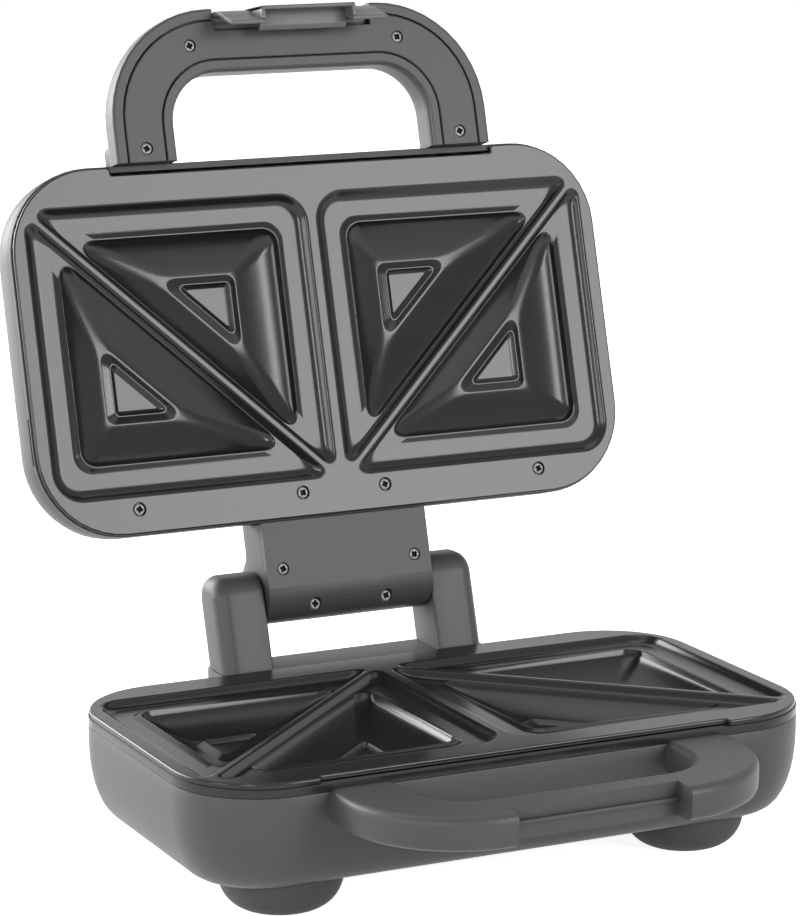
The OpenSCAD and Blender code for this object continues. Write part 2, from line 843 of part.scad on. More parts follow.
module terminal_block() {
    w = 36;
    d = 12;
    h = 11;
    z = -base_depth + wall + seat;
    y = bridge_back - block_r - d;
    color([0.85, 0.85, 0.82]) in_base()
        difference() {
            translate([-w / 2, y, z]) cube([w, d, h]);
            for (x = [-12, 0, 12]) {
                rod([x, y - 1, z + h / 2], [x, y + d + 1, z + h / 2], 1.9);
                translate([x, y + d / 2, z + h / 2]) cylinder(h = h, r = 2.3, $fn = SMALL);
            }
        }
}

// Rubber foot on its screw, at p
module foot(p) {
    top_r = foot_d / 2;
    pad_r = foot_pad_d / 2;
    edge = 0.8;
    lip = 1.5;
    h = foot_h - seat;
    color([0.22, 0.22, 0.22]) in_base()
        translate([p[0], p[1], -base_depth - seat])
            rotate_extrude($fn = ROUND)
                difference() {
                    polygon(concat([[0, 0], [top_r - edge, 0], [top_r, -edge], [top_r, -lip]],
                        [for (i = [1:CURVE_STEPS])
                            let (a = 90 * i / CURVE_STEPS)
                            [pad_r + (top_r - pad_r) * cos(a), -lip - (h - lip) * sin(a)]],
                        [[0, -h]]));
                    translate([-1, -h - 1]) square([screw_r + screw_clear + 1, h + 2]);
                    translate([-1, -h - 1]) square([head_r + head_clear + 1, foot_sink + 1]);
                }
}

module foot_front_left() { foot(feet[0]); }
module foot_front_right() { foot(feet[1]); }
module foot_rear_left() { foot(feet[2]); }
module foot_rear_right() { foot(feet[3]); }

module foot_screws() {
    under = base_depth + foot_h - foot_sink;
    color("silver") in_base()
        for (p = feet)
            translate([p[0], p[1], -under])
                mirror([0, 0, 1]) screw(under - base_depth + foot_boss_h - 2);
}

// ---------- handles ----------

// Bow seen from above, moved in by t at its outside
module bow(reach, t) {
    x = handle_w / 2 - t;
    y = reach - t;
    r = handle_r - t;
    intersection() {
        union() {
            translate([-x, r - y]) square([2 * x, y]);
            translate([r - x, -y]) square([2 * (x - r), y]);
            for (side = SIDES)
                translate([side * (x - r), r - y]) circle(r, $fn = ROUND);
        }
        translate([-handle_w, -2 * reach]) square([2 * handle_w, 2 * reach - root_y - t / 8]);
    }
}

// Hand opening, grown by g
module window(g) {
    x = window_x + g;
    y = window_reach + g;
    r = window_r + g;
    translate([-x, r - y]) square([2 * x, y]);
    translate([r - x, -y]) square([2 * (x - r), y]);
    for (side = SIDES)
        translate([side * (x - r), r - y]) circle(r, $fn = ROUND);
}

module base_handle() {
    high = -base_handle_top;
    color([0.3, 0.3, 0.31]) in_base() {
        difference() {
            translate([0, 0, -base_handle_low])
                linear_extrude(base_handle_t)
                    difference() {
                        bow(base_handle_reach, 0);
                        window(0);
                    }
            translate([-recess_half, recess_back - 2 * recess_depth, -base_handle_low - 1])
                cube([2 * recess_half, 2 * recess_depth, base_handle_t + 2]);
            for (x = leg_screw_x)
                rod([x, -root_y + 1, leg_screw_z], [x, -root_y - bite - 1, leg_screw_z], screw_r + fit);
        }
        translate([-recess_half - seat, recess_back - catch_out, -catch_z - catch_t])
            cube([2 * (recess_half + seat), catch_out + seat, catch_t]);
    }
}

module base_handle_screws() {
    color("silver") in_base()
        for (x = leg_screw_x)
            translate([x, -out_y + wall, leg_screw_z])
                rotate([-90, 0, 0]) screw(wall + seat + bite);
}

module lid_handle() {
    pad_low = -lid_face + handle_cover_t + 1;
    color([0.3, 0.3, 0.31]) in_lid()
        difference() {
            union() {
                translate([0, 0, -lid_face])
                    linear_extrude(lid_handle_t)
                        difference() {
                            bow(lid_handle_reach, 0);
                            window(0);
                        }
                for (side = SIDES)
                    translate([side * (pad_x + pad_w / 2) - pad_w / 2, -root_y - pad_out, pad_low])
                        cube([pad_w, pad_out, pad_top - pad_low]);
            }
            lid_curve(seat);
            translate([0, 0, -lid_face - 1])
                linear_extrude(handle_cover_t + 1 + seat)
                    difference() {
                        bow(lid_handle_reach, handle_border - seat);
                        window(handle_border - seat);
                    }
            translate([-recess_half, -2 * lid_handle_reach + pocket_back, -lid_face - 1])
                cube([2 * recess_half, 2 * lid_handle_reach, pocket_top + lid_face + 1]);
            rod([-recess_half - pin_hold, pivot_y, pivot_z], [recess_half + pin_hold, pivot_y, pivot_z],
                latch_pin_r + fit);
            for (side = SIDES, p = cover_screws)
                translate([side * p[0], p[1], -lid_face])
                    cylinder(h = bite + handle_cover_t, r = screw_r + fit, $fn = SMALL);
            for (x = lid_leg_x)
                rod([x, -root_y + 1, mount_z], [x, -root_y - pad_out + 1, mount_z], screw_r + fit);
        }
}

module lid_handle_cover() {
    head_deep = head_h + 0.1;
    edge = pocket_back - 0.5;
    color([0.33, 0.33, 0.34]) in_lid()
        difference() {
            translate([0, 0, -lid_face])
                linear_extrude(handle_cover_t)
                    difference() {
                        bow(lid_handle_reach, handle_border);
                        window(handle_border);
                    }
            translate([-recess_half + 0.4, edge - 2 * lid_handle_reach, -lid_face - 1])
                cube([2 * recess_half - 0.8, 2 * lid_handle_reach, handle_cover_t + 2]);
            for (side = SIDES, p = cover_screws)
                translate([side * p[0], p[1], -lid_face - 1]) {
                    cylinder(h = handle_cover_t + 2, r = screw_r + screw_clear, $fn = SMALL);
                    cylinder(h = 1 + head_deep, r = head_r + head_clear, $fn = SMALL);
                }
        }
}

module lid_handle_screws() {
    under = -lid_face + head_h + 0.1;
    color("silver") in_lid() {
        for (side = SIDES, p = cover_screws)
            translate([side * p[0], p[1], under])
                mirror([0, 0, 1]) rotate([0, 0, 30]) screw(bite);
        for (x = lid_leg_x)
            translate([x, -out_y + wall, mount_z])
                rotate([-90, 0, 0]) screw(wall + seat + pad_out - 3);
    }
}

// ---------- hinge ----------

// Round post edge: a disc about X from x = 0 outwards, filleted at its outer end
module post_disc(r) {
    f = post_fillet;
    e = post_edge;
    rotate([0, 90, 0])
        rotate_extrude($fn = SMALL)
            polygon(concat([[0, 0], [r - e, 0], [r, e]],
                [for (i = [0:CURVE_STEPS])
                    let (a = 90 * i / CURVE_STEPS) [r - f + f * cos(a), post_w - f + f * sin(a)]],
                [[0, post_w]]));
}

// Post drawn for the right-hand side
module post_right() {
    low = -bridge_drop + seat;
    top_y = post_front + post_top_r + post_lean_y;
    top_z = post_top - post_top_r;
    wide = 3.9;
    foot_h = 2;
    passage = [post_lead_x, post_screw_y, low - 1];
    bend = [post_mid, hinge_y - 0.3, hinge_z];
    difference() {
        hull() {
            translate([0, 0, low]) linear_extrude(foot_h) post_plan();
            for (y = [top_y, top_y + wide])
                translate([post_in, y, top_z]) post_disc(post_top_r);
        }
        rod([post_in - 1, hinge_y, hinge_z], [post_in + pin_out, hinge_y, hinge_z], pin_r + fit, ROUND);
        rod([post_in, hinge_y, hinge_z], [post_mid, hinge_y, hinge_z], pin_bore_r);
        rod(passage, bend, lead_r);
        for (x = SIDES)
            translate([post_lead_x + x * post_screw_x, post_screw_y, low - 1])
                cylinder(h = bite + 1, r = screw_r + fit, $fn = SMALL);
    }
}

module post_plan() {
    f = post_fillet;
    x = post_in + post_w;
    translate([post_in, post_front]) square([post_w - f, post_d]);
    translate([post_in, post_front + f]) square([post_w, post_d - 2 * f]);
    for (y = [post_front + f, post_back - f])
        translate([x - f, y]) circle(f, $fn = SMALL);
}

module hinge_post_right() { color([0.3, 0.3, 0.31]) in_base() post_right(); }
module hinge_post_left() { color([0.3, 0.3, 0.31]) in_base() mirror([1, 0, 0]) post_right(); }

module post_screws() {
    under = -bridge_drop - wall;
    color("silver") in_base()
        for (side = SIDES, x = SIDES)
            translate([side * post_lead_x + x * post_screw_x, post_screw_y, under])
                mirror([0, 0, 1]) screw(wall + seat + bite - 1);
}

// Hollow pin, fixed in its post and free in the arm
module hinge_pin(side) {
    x0 = side * (arm_w / 2 - pin_in);
    x1 = side * (post_in + pin_out - seat);
    color([0.75, 0.75, 0.74]) in_base()
        difference() {
            rod([x0, hinge_y, hinge_z], [x1, hinge_y, hinge_z], pin_r, ROUND);
            rod([x0 - side, hinge_y, hinge_z], [x1 + side, hinge_y, hinge_z], pin_bore_r);
        }
}

module hinge_pin_left() { hinge_pin(-1); }
module hinge_pin_right() { hinge_pin(1); }

// Side view of the whole arm
module arm_side() {
    gap = [heel_y - hinge_y, arm_far - hinge_z];
    a = atan2(-gap[0], gap[1]) - acos(barrel_r / norm(gap));
    polygon([[tub_y, arm_low], [nose_y, arm_low], [nose_y, nose_z], [arm_end, nose_z], [arm_end, hinge_z],
             [hinge_y, hinge_z], [hinge_y - barrel_r * sin(a), hinge_z + barrel_r * cos(a)],
             [heel_y, arm_far], [tub_y, arm_far]]);
    translate([nose_y, nose_z]) circle(arm_nose_r, $fn = ROUND);
    translate([hinge_y, hinge_z]) circle(barrel_r, $fn = ROUND);
}

// Side view of the arm's cover, grown inwards by g
module arm_cover_side(g) {
    t = arm_cover_t + g;
    difference() {
        arm_side();
        translate([-t, t]) arm_side();
        translate([0, cover_split + g]) square([2 * arm_end, 2 * arm_far]);
    }
}

// Room that the shut lid's back wall takes up, grown by g, as seen from the side
module lid_curve(g) {
    y = out_y - lid_round;
    z = lid_h - lid_round;
    for (side = [0, 1])
        mirror([0, side, 0])
            along_x(-handle_w, handle_w) {
                translate([y, z]) circle(lid_round + g, $fn = 2 * ROUND);
                translate([0, -lid_h]) square([out_y + g, lid_h + z]);
            }
}

module hinge_arm() {
    half = arm_w / 2;
    skin = 2.6;
    room = 86;
    color([0.3, 0.3, 0.31]) in_lid()
        difference() {
            along_x(-half, half)
                difference() {
                    arm_side();
                    arm_cover_side(seat);
                }
            lid_curve(seat);
            along_x(-cavity_half, cavity_half) {
                translate([hinge_y, hinge_z]) circle(barrel_r - skin, $fn = ROUND);
                translate([room, arm_low]) square([hinge_y - room, arm_far - skin - arm_low]);
            }
            for (side = SIDES) {
                rod([side * (cavity_half - 1), hinge_y, hinge_z], [side * (half + 1), hinge_y, hinge_z],
                    pin_r + pin_clear, ROUND);
                translate([side * cover_screw_x, cover_screw_y, 0])
                    cylinder(h = arm_low + arm_cover_t + bite, r = screw_r + fit, $fn = SMALL);
                translate([side * nose_screw_x, nose_screw_y, 0])
                    cylinder(h = nose_seat_z + bite - 1, r = screw_r + fit, $fn = SMALL);
            }
            for (x = mount_x)
                rod([x, root_y - 1, mount_z], [x, root_y + bite, mount_z], screw_r + fit);
            rod([0, root_y - 1, lead_z], [0, room + 1, lead_z], lead_r);
        }
}

module hinge_arm_cover() {
    head_deep = head_h + 0.1;
    color([0.33, 0.33, 0.34]) in_lid()
        difference() {
            along_x(-arm_w / 2, arm_w / 2) arm_cover_side(0);
            lid_curve(seat);
            for (side = SIDES) {
                translate([side * cover_screw_x, cover_screw_y, 0]) {
                    cylinder(h = 3 * arm_low, r = screw_r + screw_clear, $fn = SMALL);
                    cylinder(h = arm_low + head_deep, r = head_r + head_clear, $fn = SMALL);
                }
                translate([side * nose_screw_x, nose_screw_y, 0]) {
                    cylinder(h = cover_split, r = screw_r + screw_clear, $fn = SMALL);
                    cylinder(h = nose_seat_z, r = head_r + head_clear, $fn = SMALL);
                }
            }
        }
}

module arm_cover_screws() {
    under = arm_low + head_h + 0.1;
    color("silver") in_lid()
        for (side = SIDES)
            translate([side * cover_screw_x, cover_screw_y, under])
                mirror([0, 0, 1]) rotate([0, 0, 20]) screw(bite);
}

module arm_barrel_screws() {
    color("silver") in_lid()
        for (side = SIDES)
            translate([side * nose_screw_x, nose_screw_y, nose_seat_z])
                mirror([0, 0, 1]) rotate([0, 0, 40]) screw(bite - 2);
}

module arm_mount_screws() {
    color("silver") in_lid()
        for (x = mount_x)
            translate([x, out_y - wall, mount_z]) rotate([90, 0, 0]) screw(wall + seat + bite - 1);
}

// ---------- lid ----------

// Rings of the lid from low to high, moved in by t from the outside
function lid_rings(t, low) =
    let (bend_z = lid_h - lid_round, r = lid_round - t)
    concat([box_ring(out_x, out_y, out_r, t, low)],
           [for (i = [0:CURVE_STEPS])
                let (a = 90 * i / CURVE_STEPS)
                box_ring(out_x, out_y, out_r, t + r * (1 - cos(a)), bend_z + r * sin(a))]);

module lid_shell() {
    column = lid_h - 7;
    color([0.3, 0.3, 0.31]) in_lid()
        difference() {
            union() {
                difference() {
                    loft(lid_rings(0, shell_edge));
                    loft(lid_rings(wall, shell_edge - 1));
                }
                difference() {
                    for (x = lid_boss_x)
                        translate([x, lid_boss_y, lid_boss_h + seat])
                            cylinder(h = column - lid_boss_h, r = boss_r, $fn = SMALL);
                    linear_extrude(tub_low + seat) tub_plan(0.3);
                }
                reflector_pegs(lid_h - 1);
            }
            for (x = lid_boss_x)
                translate([x, lid_boss_y, lid_boss_h])
                    cylinder(h = bite + 1, r = screw_r + fit, $fn = SMALL);
            for (x = mount_x)
                rod([x, out_y + 1, mount_z], [x, tub_y, mount_z], screw_r + screw_clear);
            for (x = lid_leg_x)
                rod([x, -root_y - 1, mount_z], [x, -tub_y, mount_z], screw_r + screw_clear);
            rod([0, tub_y, lead_z], [0, out_y + 1, lead_z], lead_r);
            for (side = SIDES)
                translate([side * lens_pitch / 2, -lens_front, lid_h - 2 * wall])
                    cylinder(h = 3 * wall, r = lens_r + seat, $fn = SMALL);
        }
}

module lamp_board() {
    w = 46;
    d = 18;
    t = 1.6;
    z = sheet_far + 0.6;
    color([0.75, 0.65, 0.4]) in_lid()
        translate([-w / 2, -lens_front - d / 2, z]) cube([w, d, t]);
}

// Lens in the lid's top, standing on the lamp board
module lamp(x) {
    proud = 0.8;
    flange = 1;
    z = sheet_far + 2.3;
    in_lid() translate([x, -lens_front, 0]) {
        translate([0, 0, z]) cylinder(h = lid_h - proud - z + 0.01, r = lens_r, $fn = ROUND);
        translate([0, 0, lid_h - proud]) cylinder(h = 2 * proud, r = lens_r, $fn = ROUND);
        translate([0, 0, z]) cylinder(h = flange, r = lens_r + 1.2, $fn = ROUND);
    }
}

module power_lamp() { color([0.8, 0.12, 0.08]) lamp(-lens_pitch / 2); }
module ready_lamp() { color([0.15, 0.6, 0.2]) lamp(lens_pitch / 2); }

// Fixed thermostat on the back of the upper plate
module thermostat() {
    r = 8;
    h = 5;
    y = -6;
    blade = 1;
    color([0.85, 0.82, 0.75]) in_lid()
        translate([0, y, tub_low + seat]) {
            cylinder(h = h, r = r, $fn = ROUND);
            for (side = SIDES)
                translate([side * r / 2 - 3, -blade / 2, h - seat]) cube([6, blade, 3]);
        }
}

module thermal_fuse() {
    r = 1.9;
    l = 11;
    lead = 24;
    y = 10;
    color([0.8, 0.78, 0.72]) in_lid()
        translate([0, y, tub_low + seat + r]) {
            rod([-l / 2, 0, 0], [l / 2, 0, 0], r);
            rod([-lead / 2, 0, 0], [lead / 2, 0, 0], r / 3);
        }
}

// ---------- latch ----------

module latch_pin() {
    end = recess_half + pin_hold - seat;
    color("silver") in_lid()
        rod([-end, pivot_y, pivot_z], [end, pivot_y, pivot_z], latch_pin_r, SMALL);
}

// Point on the outside of a wing's curve: its parts of the curve's reach and of the latch's depth
function wing_point(part) =
    [latch_out + part[0] * (wing_y - latch_t - latch_out), -part[1] * latch_low];

// Side view of the curved wings
module wing_side() {
    outside = [for (part = WING_CURVE) wing_point(part)];
    inside = [for (i = [3:-1:0]) outside[i] + latch_t * WING_WALL[i]];
    polygon(concat([[pivot_y, pivot_z + latch_root], [latch_out, latch_root - 0.5]], outside,
        [[wing_y - latch_t, -latch_low], [wing_y, 0.6 - latch_low]], inside,
        [[latch_out + 1.3 * latch_t, -latch_root], [pivot_y + 0.5, pivot_z - latch_root]]));
}

// Side view of the middle, which stands out as a finger grip
module grip_side() {
    z = -latch_low;
    brow = WING_CURVE[0][1] * z;
    polygon([[pivot_y, pivot_z + latch_root], [latch_out, latch_root - 0.5],
             [latch_out - grip_lean, brow], [grip_foot, z - 0.2], [grip_foot + latch_t, z],
             [latch_out - grip_lean + latch_t, brow + 0.4],
             [latch_out + 1.3 * latch_t, -latch_root], [pivot_y + 0.5, pivot_z - latch_root]]);
}

// Side view of the walls between the middle and the wings
module cheek_side() {
    z = -latch_low;
    polygon(concat([[latch_out, 0], [latch_out - grip_lean, WING_CURVE[0][1] * z], [grip_foot, z - 0.2],
                    [wing_y - latch_t, z]],
        [for (i = [3:-1:1]) wing_point(WING_CURVE[i]) + [0, 0.4 * latch_t]]));
}

// Hook that goes under the catch
module hook_side() {
    root = latch_out + latch_t;
    polygon([[root, nose_top - 2 * latch_t], [root, nose_top + 1.5], [nose_tip - 5, nose_top],
             [nose_tip, nose_top], [nose_tip, nose_top - 1], [nose_tip - latch_t, nose_top - 1.5 * latch_t]]);
}

module latch() {
    mid = latch_mid_w / 2;
    end = latch_w / 2;
    cheek = latch_t;
    color([0.3, 0.3, 0.31]) in_latch()
        difference() {
            union() {
                rod([-end, pivot_y, pivot_z], [end, pivot_y, pivot_z], knuckle_r);
                along_x(-mid, mid) grip_side();
                along_x(-mid + cheek, mid - cheek) hook_side();
                for (side = [0, 1])
                    mirror([side, 0, 0]) {
                        along_x(mid - cheek, end) wing_side();
                        along_x(mid - cheek, mid) cheek_side();
                    }
            }
            rod([-end - 1, pivot_y, pivot_z], [end + 1, pivot_y, pivot_z], latch_pin_r + pin_clear);
        }
}

base_shell();
base_trim_ring();
lower_plate();
lower_plate_screws();
lower_element();
lower_reflector();
lower_element_clips();
base_handle();
base_handle_screws();
hinge_post_left();
hinge_post_right();
post_screws();
hinge_pin_left();
hinge_pin_right();
foot_front_left();
foot_front_right();
foot_rear_left();
foot_rear_right();
foot_screws();
terminal_block();
cord_gland();
lid_shell();
lid_trim_ring();
upper_plate();
upper_plate_screws();
upper_element();
upper_reflector();
upper_element_clips();
thermostat();
thermal_fuse();
lamp_board();
power_lamp();
ready_lamp();
lid_handle();
lid_handle_cover();
lid_handle_screws();
hinge_arm();
hinge_arm_cover();
arm_cover_screws();
arm_barrel_screws();
arm_mount_screws();
latch_pin();
latch();
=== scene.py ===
import math

import bmesh
import bpy
from mathutils import Matrix, Vector


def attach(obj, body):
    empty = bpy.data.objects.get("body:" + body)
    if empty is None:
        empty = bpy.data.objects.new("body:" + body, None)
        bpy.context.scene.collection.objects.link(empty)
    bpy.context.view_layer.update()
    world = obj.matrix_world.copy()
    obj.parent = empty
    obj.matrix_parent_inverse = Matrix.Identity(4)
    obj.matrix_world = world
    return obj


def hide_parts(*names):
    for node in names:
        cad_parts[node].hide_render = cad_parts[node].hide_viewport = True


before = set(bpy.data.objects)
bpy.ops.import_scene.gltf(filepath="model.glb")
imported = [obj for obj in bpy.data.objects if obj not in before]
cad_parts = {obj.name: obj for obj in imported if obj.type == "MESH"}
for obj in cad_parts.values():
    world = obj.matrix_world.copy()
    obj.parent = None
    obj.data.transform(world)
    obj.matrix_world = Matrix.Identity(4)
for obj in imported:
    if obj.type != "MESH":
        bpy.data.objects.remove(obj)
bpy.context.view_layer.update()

# ---------------------------------------------------------------- sizes and places, in mm
# Each piece is drawn about the middle of the plates, z = 0 where the shut plates meet, lid pieces
# as they lie when the lid is shut. IN_BASE, IN_LID and IN_LATCH carry them to the open toaster.

MILLI = 0.001
MM = Matrix.Scale(MILLI, 4)
SIDES = (-1, 1)
AROUND = ((-1, -1), (1, -1), (1, 1), (-1, 1))

# height over the table where the shut plates meet, and y of the plates' middle in the shared frame
MEET = 59.0
SHIFT = -12.295

# hinge and latch: their axes in the frame of the plates, and how far each stands from shut
HINGE = Vector((0, 103.7, 23.6))
OPEN = math.radians(105.6)
PIVOT = Vector((0, -130.0, 1.5))
RELEASE = math.radians(5.5)

IN_BASE = MM @ Matrix.Translation((0, SHIFT, MEET))
IN_LID = IN_BASE @ Matrix.Translation(HINGE) @ Matrix.Rotation(-OPEN, 4, "X") @ Matrix.Translation(-HINGE)
AT_PIVOT = IN_LID @ Matrix.Translation(PIVOT)
IN_LATCH = AT_PIVOT @ Matrix.Rotation(-RELEASE, 4, "X") @ Matrix.Translation(-PIVOT)
UPSIDE_DOWN = Matrix.Scale(-1, 4, (0, 0, 1))

# half width, half depth and corner radius of the plates, the housings and the tubs under the pockets
RIM = (131.0, 74.25, 35.0)
SHELL = (131.6, 74.85, 35.6)
TUB = (63.25, 60.75, 14.0)
RING_HEIGHT = 3.3

# cooking plates: pockets, height of the rim's top, the ledge from there, the bowl's floor from the
# ledge, and rows, places and turns of the screws
POCKET = (122.5, 117.5)
POCKET_X = 63.75
RIM_TOP = -0.2
LEDGE_DROP = -3.1
BOWL_DROP = -9.4
SCREW_ROW = 64.35
LOWER_SCREW_ROW = 64.45
SCREWS_IN_RIM = [-90.4, -18.6, 18.6, 90.4]
SCREW_TURNS = [12, 40, -20, 30]
LOWER_BOSSES = [(x * 98, y * LOWER_SCREW_ROW) for x in SIDES for y in SIDES]

# handles: reach from the middle of the plates, outer half width and radius, the hand opening,
# where their legs start, and half the width of the latch's place in them
BASE_REACH = 132.5
LID_REACH = 136.5
BOW = (84, 46)
HAND_OPENING = (57.5, 110.5, 21)
HANDLE_ROOT = 75.0
LATCH_BAY = 35.6
HANDLE_SCREWS = [(46.9, -121.5), (70.75, -80.35)]
LEG_SCREWS = [(side * x, -72.3, 11.7, 8.0) for x in (64, 76) for side in SIDES]

# screws: radius of the wells round their heads, of the heads, of the threads and of their bosses
WELL_R = 2.7
HEAD_R = 2.3
THREAD_R = 1.35
BOSS_R = 4.2

# hinge arm: half width and the screws in its cover
ARM_HALF = 37
ARM_COVER_SCREWS = (29.8, 94.4)
ARM_BARREL_SCREWS = (16.1, 110)

# rear block: half width, back and underside
BLOCK = (59.2, 103.3, -43.5)

# middles of the feet
FEET = {
    "front_left": (-87, -37.5),
    "front_right": (87, -37.5),
    "rear_left": (-34, 67.3),
    "rear_right": (34, 67.3),
}


# ---------------------------------------------------------------- camera and light

# azimuth, elevation and roll in degrees, distance from the aim, the aim over the plates and its
# shift across and up the picture
CAMERA_ANGLES = (-25.6357, 11.4838, -0.2253)
CAMERA_FAR = 1402.72
AIM = Vector((0, 20 + SHIFT, 40 + MEET))
AIM_SHIFT = (-8.6086, 54.065)

# in pixels of the photograph, apart from the sensor's 36 mm
PICTURE_HEIGHT = 916
FOCAL_PIXELS = 3546.3
LENS_SHIFT = (0.7325, -3.9043)
SENSOR = 36

# strength of the room's light on the toaster, and of the table's own light where it is seen
ROOM_LIGHT = 0.14
FLOOR_GLOW = 0.86


def camera():
    """Camera where the photograph was taken from, worked out from the edges of the plates."""
    az, el, roll = (math.radians(a) for a in CAMERA_ANGLES)
    back = Vector((math.sin(az) * math.cos(el), -math.cos(az) * math.cos(el), math.sin(el)))
    right = (-back).cross(Vector((0, 0, 1))).normalized()
    up = right.cross(-back)
    across = math.cos(roll) * right + math.sin(roll) * up
    upward = -math.sin(roll) * right + math.cos(roll) * up
    aim = AIM + AIM_SHIFT[0] * across + AIM_SHIFT[1] * upward
    place = (aim + CAMERA_FAR * back) * MILLI
    lens = bpy.data.cameras.new("camera")
    lens.sensor_width = SENSOR
    lens.lens = FOCAL_PIXELS * SENSOR / PICTURE_HEIGHT
    lens.shift_x, lens.shift_y = (shift / PICTURE_HEIGHT for shift in LENS_SHIFT)
    eye = bpy.data.objects.new("camera", lens)
    turn = Matrix((across, upward, back)).transposed()
    eye.matrix_world = Matrix.Translation(place) @ turn.to_4x4()
    bpy.context.collection.objects.link(eye)
    bpy.context.scene.camera = eye


def softbox(name, place, aim, size, power):
    """Rectangular soft light that faces a point."""
    light = bpy.data.lights.new(name, "AREA")
    light.shape = "RECTANGLE"
    light.size, light.size_y = size
    light.energy = power
    lamp = bpy.data.objects.new(name, light)
    toward = (Vector(place) - Vector(aim)).normalized()
    lamp.matrix_world = Matrix.Translation(place) @ toward.to_track_quat("Z", "Y").to_matrix().to_4x4()
    bpy.context.collection.objects.link(lamp)


def studio():
    """White room with softboxes behind, at the left and above, and one that the lid's plate mirrors."""
    world = bpy.data.worlds.new("studio")
    bpy.context.scene.world = world
    world.use_nodes = True
    nodes, links = world.node_tree.nodes, world.node_tree.links
    nodes.clear()
    out = nodes.new("ShaderNodeOutputWorld")
    mix = nodes.new("ShaderNodeMixShader")
    links.new(seen_directly(nodes, links), mix.inputs[0])
    for socket, strength in ((1, ROOM_LIGHT), (2, 1.0)):
        white = nodes.new("ShaderNodeBackground")
        white.inputs["Color"].default_value = (1, 1, 1, 1)
        white.inputs["Strength"].default_value = strength
        links.new(white.outputs[0], mix.inputs[socket])
    links.new(mix.outputs[0], out.inputs[0])

    softbox("back_left", (-1.5, 1.9, 1.0), (0, 0, 0.12), (2.4, 1.8), 150)
    softbox("left", (-2.2, -0.75, 0.6), (0, 0, 0.15), (0.7, 0.8), 16)
    softbox("left_key", (-1.3, -1.7, 0.75), (0, 0, 0.2), (0.35, 0.6), 14)
    softbox("front_right", (0.95, -1.85, 0.85), (0, 0.1, 0.2), (1.1, 1.1), 42)
    softbox("overhead", (0.0, 0.5, 2.2), (0, 0, 0.1), (1.6, 1.2), 8)


def seen_directly(nodes, links):
    """1 where the camera, a reflection or glass looks at the surface, 0 for other light."""
    path = nodes.new("ShaderNodeLightPath")
    first = nodes.new("ShaderNodeMath")
    first.operation = "MAXIMUM"
    second = nodes.new("ShaderNodeMath")
    second.operation = "MAXIMUM"
    links.new(path.outputs["Is Camera Ray"], first.inputs[0])
    links.new(path.outputs["Is Glossy Ray"], first.inputs[1])
    links.new(first.outputs[0], second.inputs[0])
    links.new(path.outputs["Is Transmission Ray"], second.inputs[1])
    return second.outputs[0]


def floor():
    """Pale table that shows only the toaster's soft shadow."""
    bm = bmesh.new()
    bmesh.ops.create_grid(bm, x_segments=1, y_segments=1, size=6)
    mesh = bpy.data.meshes.new("floor")
    bm.to_mesh(mesh)
    bm.free()
    table = bpy.data.objects.new("floor", mesh)
    bpy.context.collection.objects.link(table)
    skin = bpy.data.materials.new("pale_floor")
    skin.use_nodes = True
    nodes, links = skin.node_tree.nodes, skin.node_tree.links
    nodes.clear()
    out = nodes.new("ShaderNodeOutputMaterial")
    lit = nodes.new("ShaderNodeBsdfDiffuse")
    lit.inputs["Color"].default_value = (0.8, 0.8, 0.8, 1)
    glow = nodes.new("ShaderNodeEmission")
    glow.inputs["Color"].default_value = (1, 1, 1, 1)
    glow.inputs["Strength"].default_value = FLOOR_GLOW
    both = nodes.new("ShaderNodeAddShader")
    pick = nodes.new("ShaderNodeMixShader")
    links.new(lit.outputs[0], both.inputs[0])
    links.new(glow.outputs[0], both.inputs[1])
    links.new(seen_directly(nodes, links), pick.inputs[0])
    links.new(lit.outputs[0], pick.inputs[1])
    links.new(both.outputs[0], pick.inputs[2])
    links.new(pick.outputs[0], out.inputs[0])
    table.data.materials.append(skin)


# ---------------------------------------------------------------- materials

def finish_of(name):
    """New material with its nodes, links and shader."""
    skin = bpy.data.materials.new(name)
    skin.use_nodes = True
    nodes, links = skin.node_tree.nodes, skin.node_tree.links
    return skin, nodes, links, nodes["Principled BSDF"]


def noise(nodes, links, scale, detail, stretch=None):
    """Noise over the piece, in cells of 1 / scale metres."""
    where = nodes.new("ShaderNodeTexCoord")
    tex = nodes.new("ShaderNodeTexNoise")
    tex.inputs["Scale"].default_value = scale
    tex.inputs["Detail"].default_value = detail
    source = where.outputs["Object"]
    if stretch:
        mapping = nodes.new("ShaderNodeMapping")
        mapping.inputs["Scale"].default_value = stretch
        links.new(source, mapping.inputs["Vector"])
        source = mapping.outputs["Vector"]
    links.new(source, tex.inputs["Vector"])
    return tex.outputs["Fac"]


def spread(nodes, links, fac, low, high):
    """Maps noise, which lies between about 0.35 and 0.65, to a range of values."""
    ramp = nodes.new("ShaderNodeMapRange")
    ramp.inputs["From Min"].default_value = 0.35
    ramp.inputs["From Max"].default_value = 0.65
    ramp.inputs["To Min"].default_value = low
    ramp.inputs["To Max"].default_value = high
    links.new(fac, ramp.inputs["Value"])
    return ramp.outputs["Result"]


def tint(nodes, links, fac, dark, light):
    """Maps noise to shades between two colours."""
    mix = nodes.new("ShaderNodeMix")
    mix.data_type = "RGBA"
    mix.inputs["A"].default_value = (*dark, 1)
    mix.inputs["B"].default_value = (*light, 1)
    links.new(fac, mix.inputs["Factor"])
    return mix.outputs["Result"]


def bump(nodes, links, height, depth_mm, shader, strength):
    """Raises the surface where the noise is high."""
    node = nodes.new("ShaderNodeBump")
    node.inputs["Strength"].default_value = strength
    node.inputs["Distance"].default_value = depth_mm * MILLI
    links.new(height, node.inputs["Height"])
    links.new(node.outputs["Normal"], shader.inputs["Normal"])


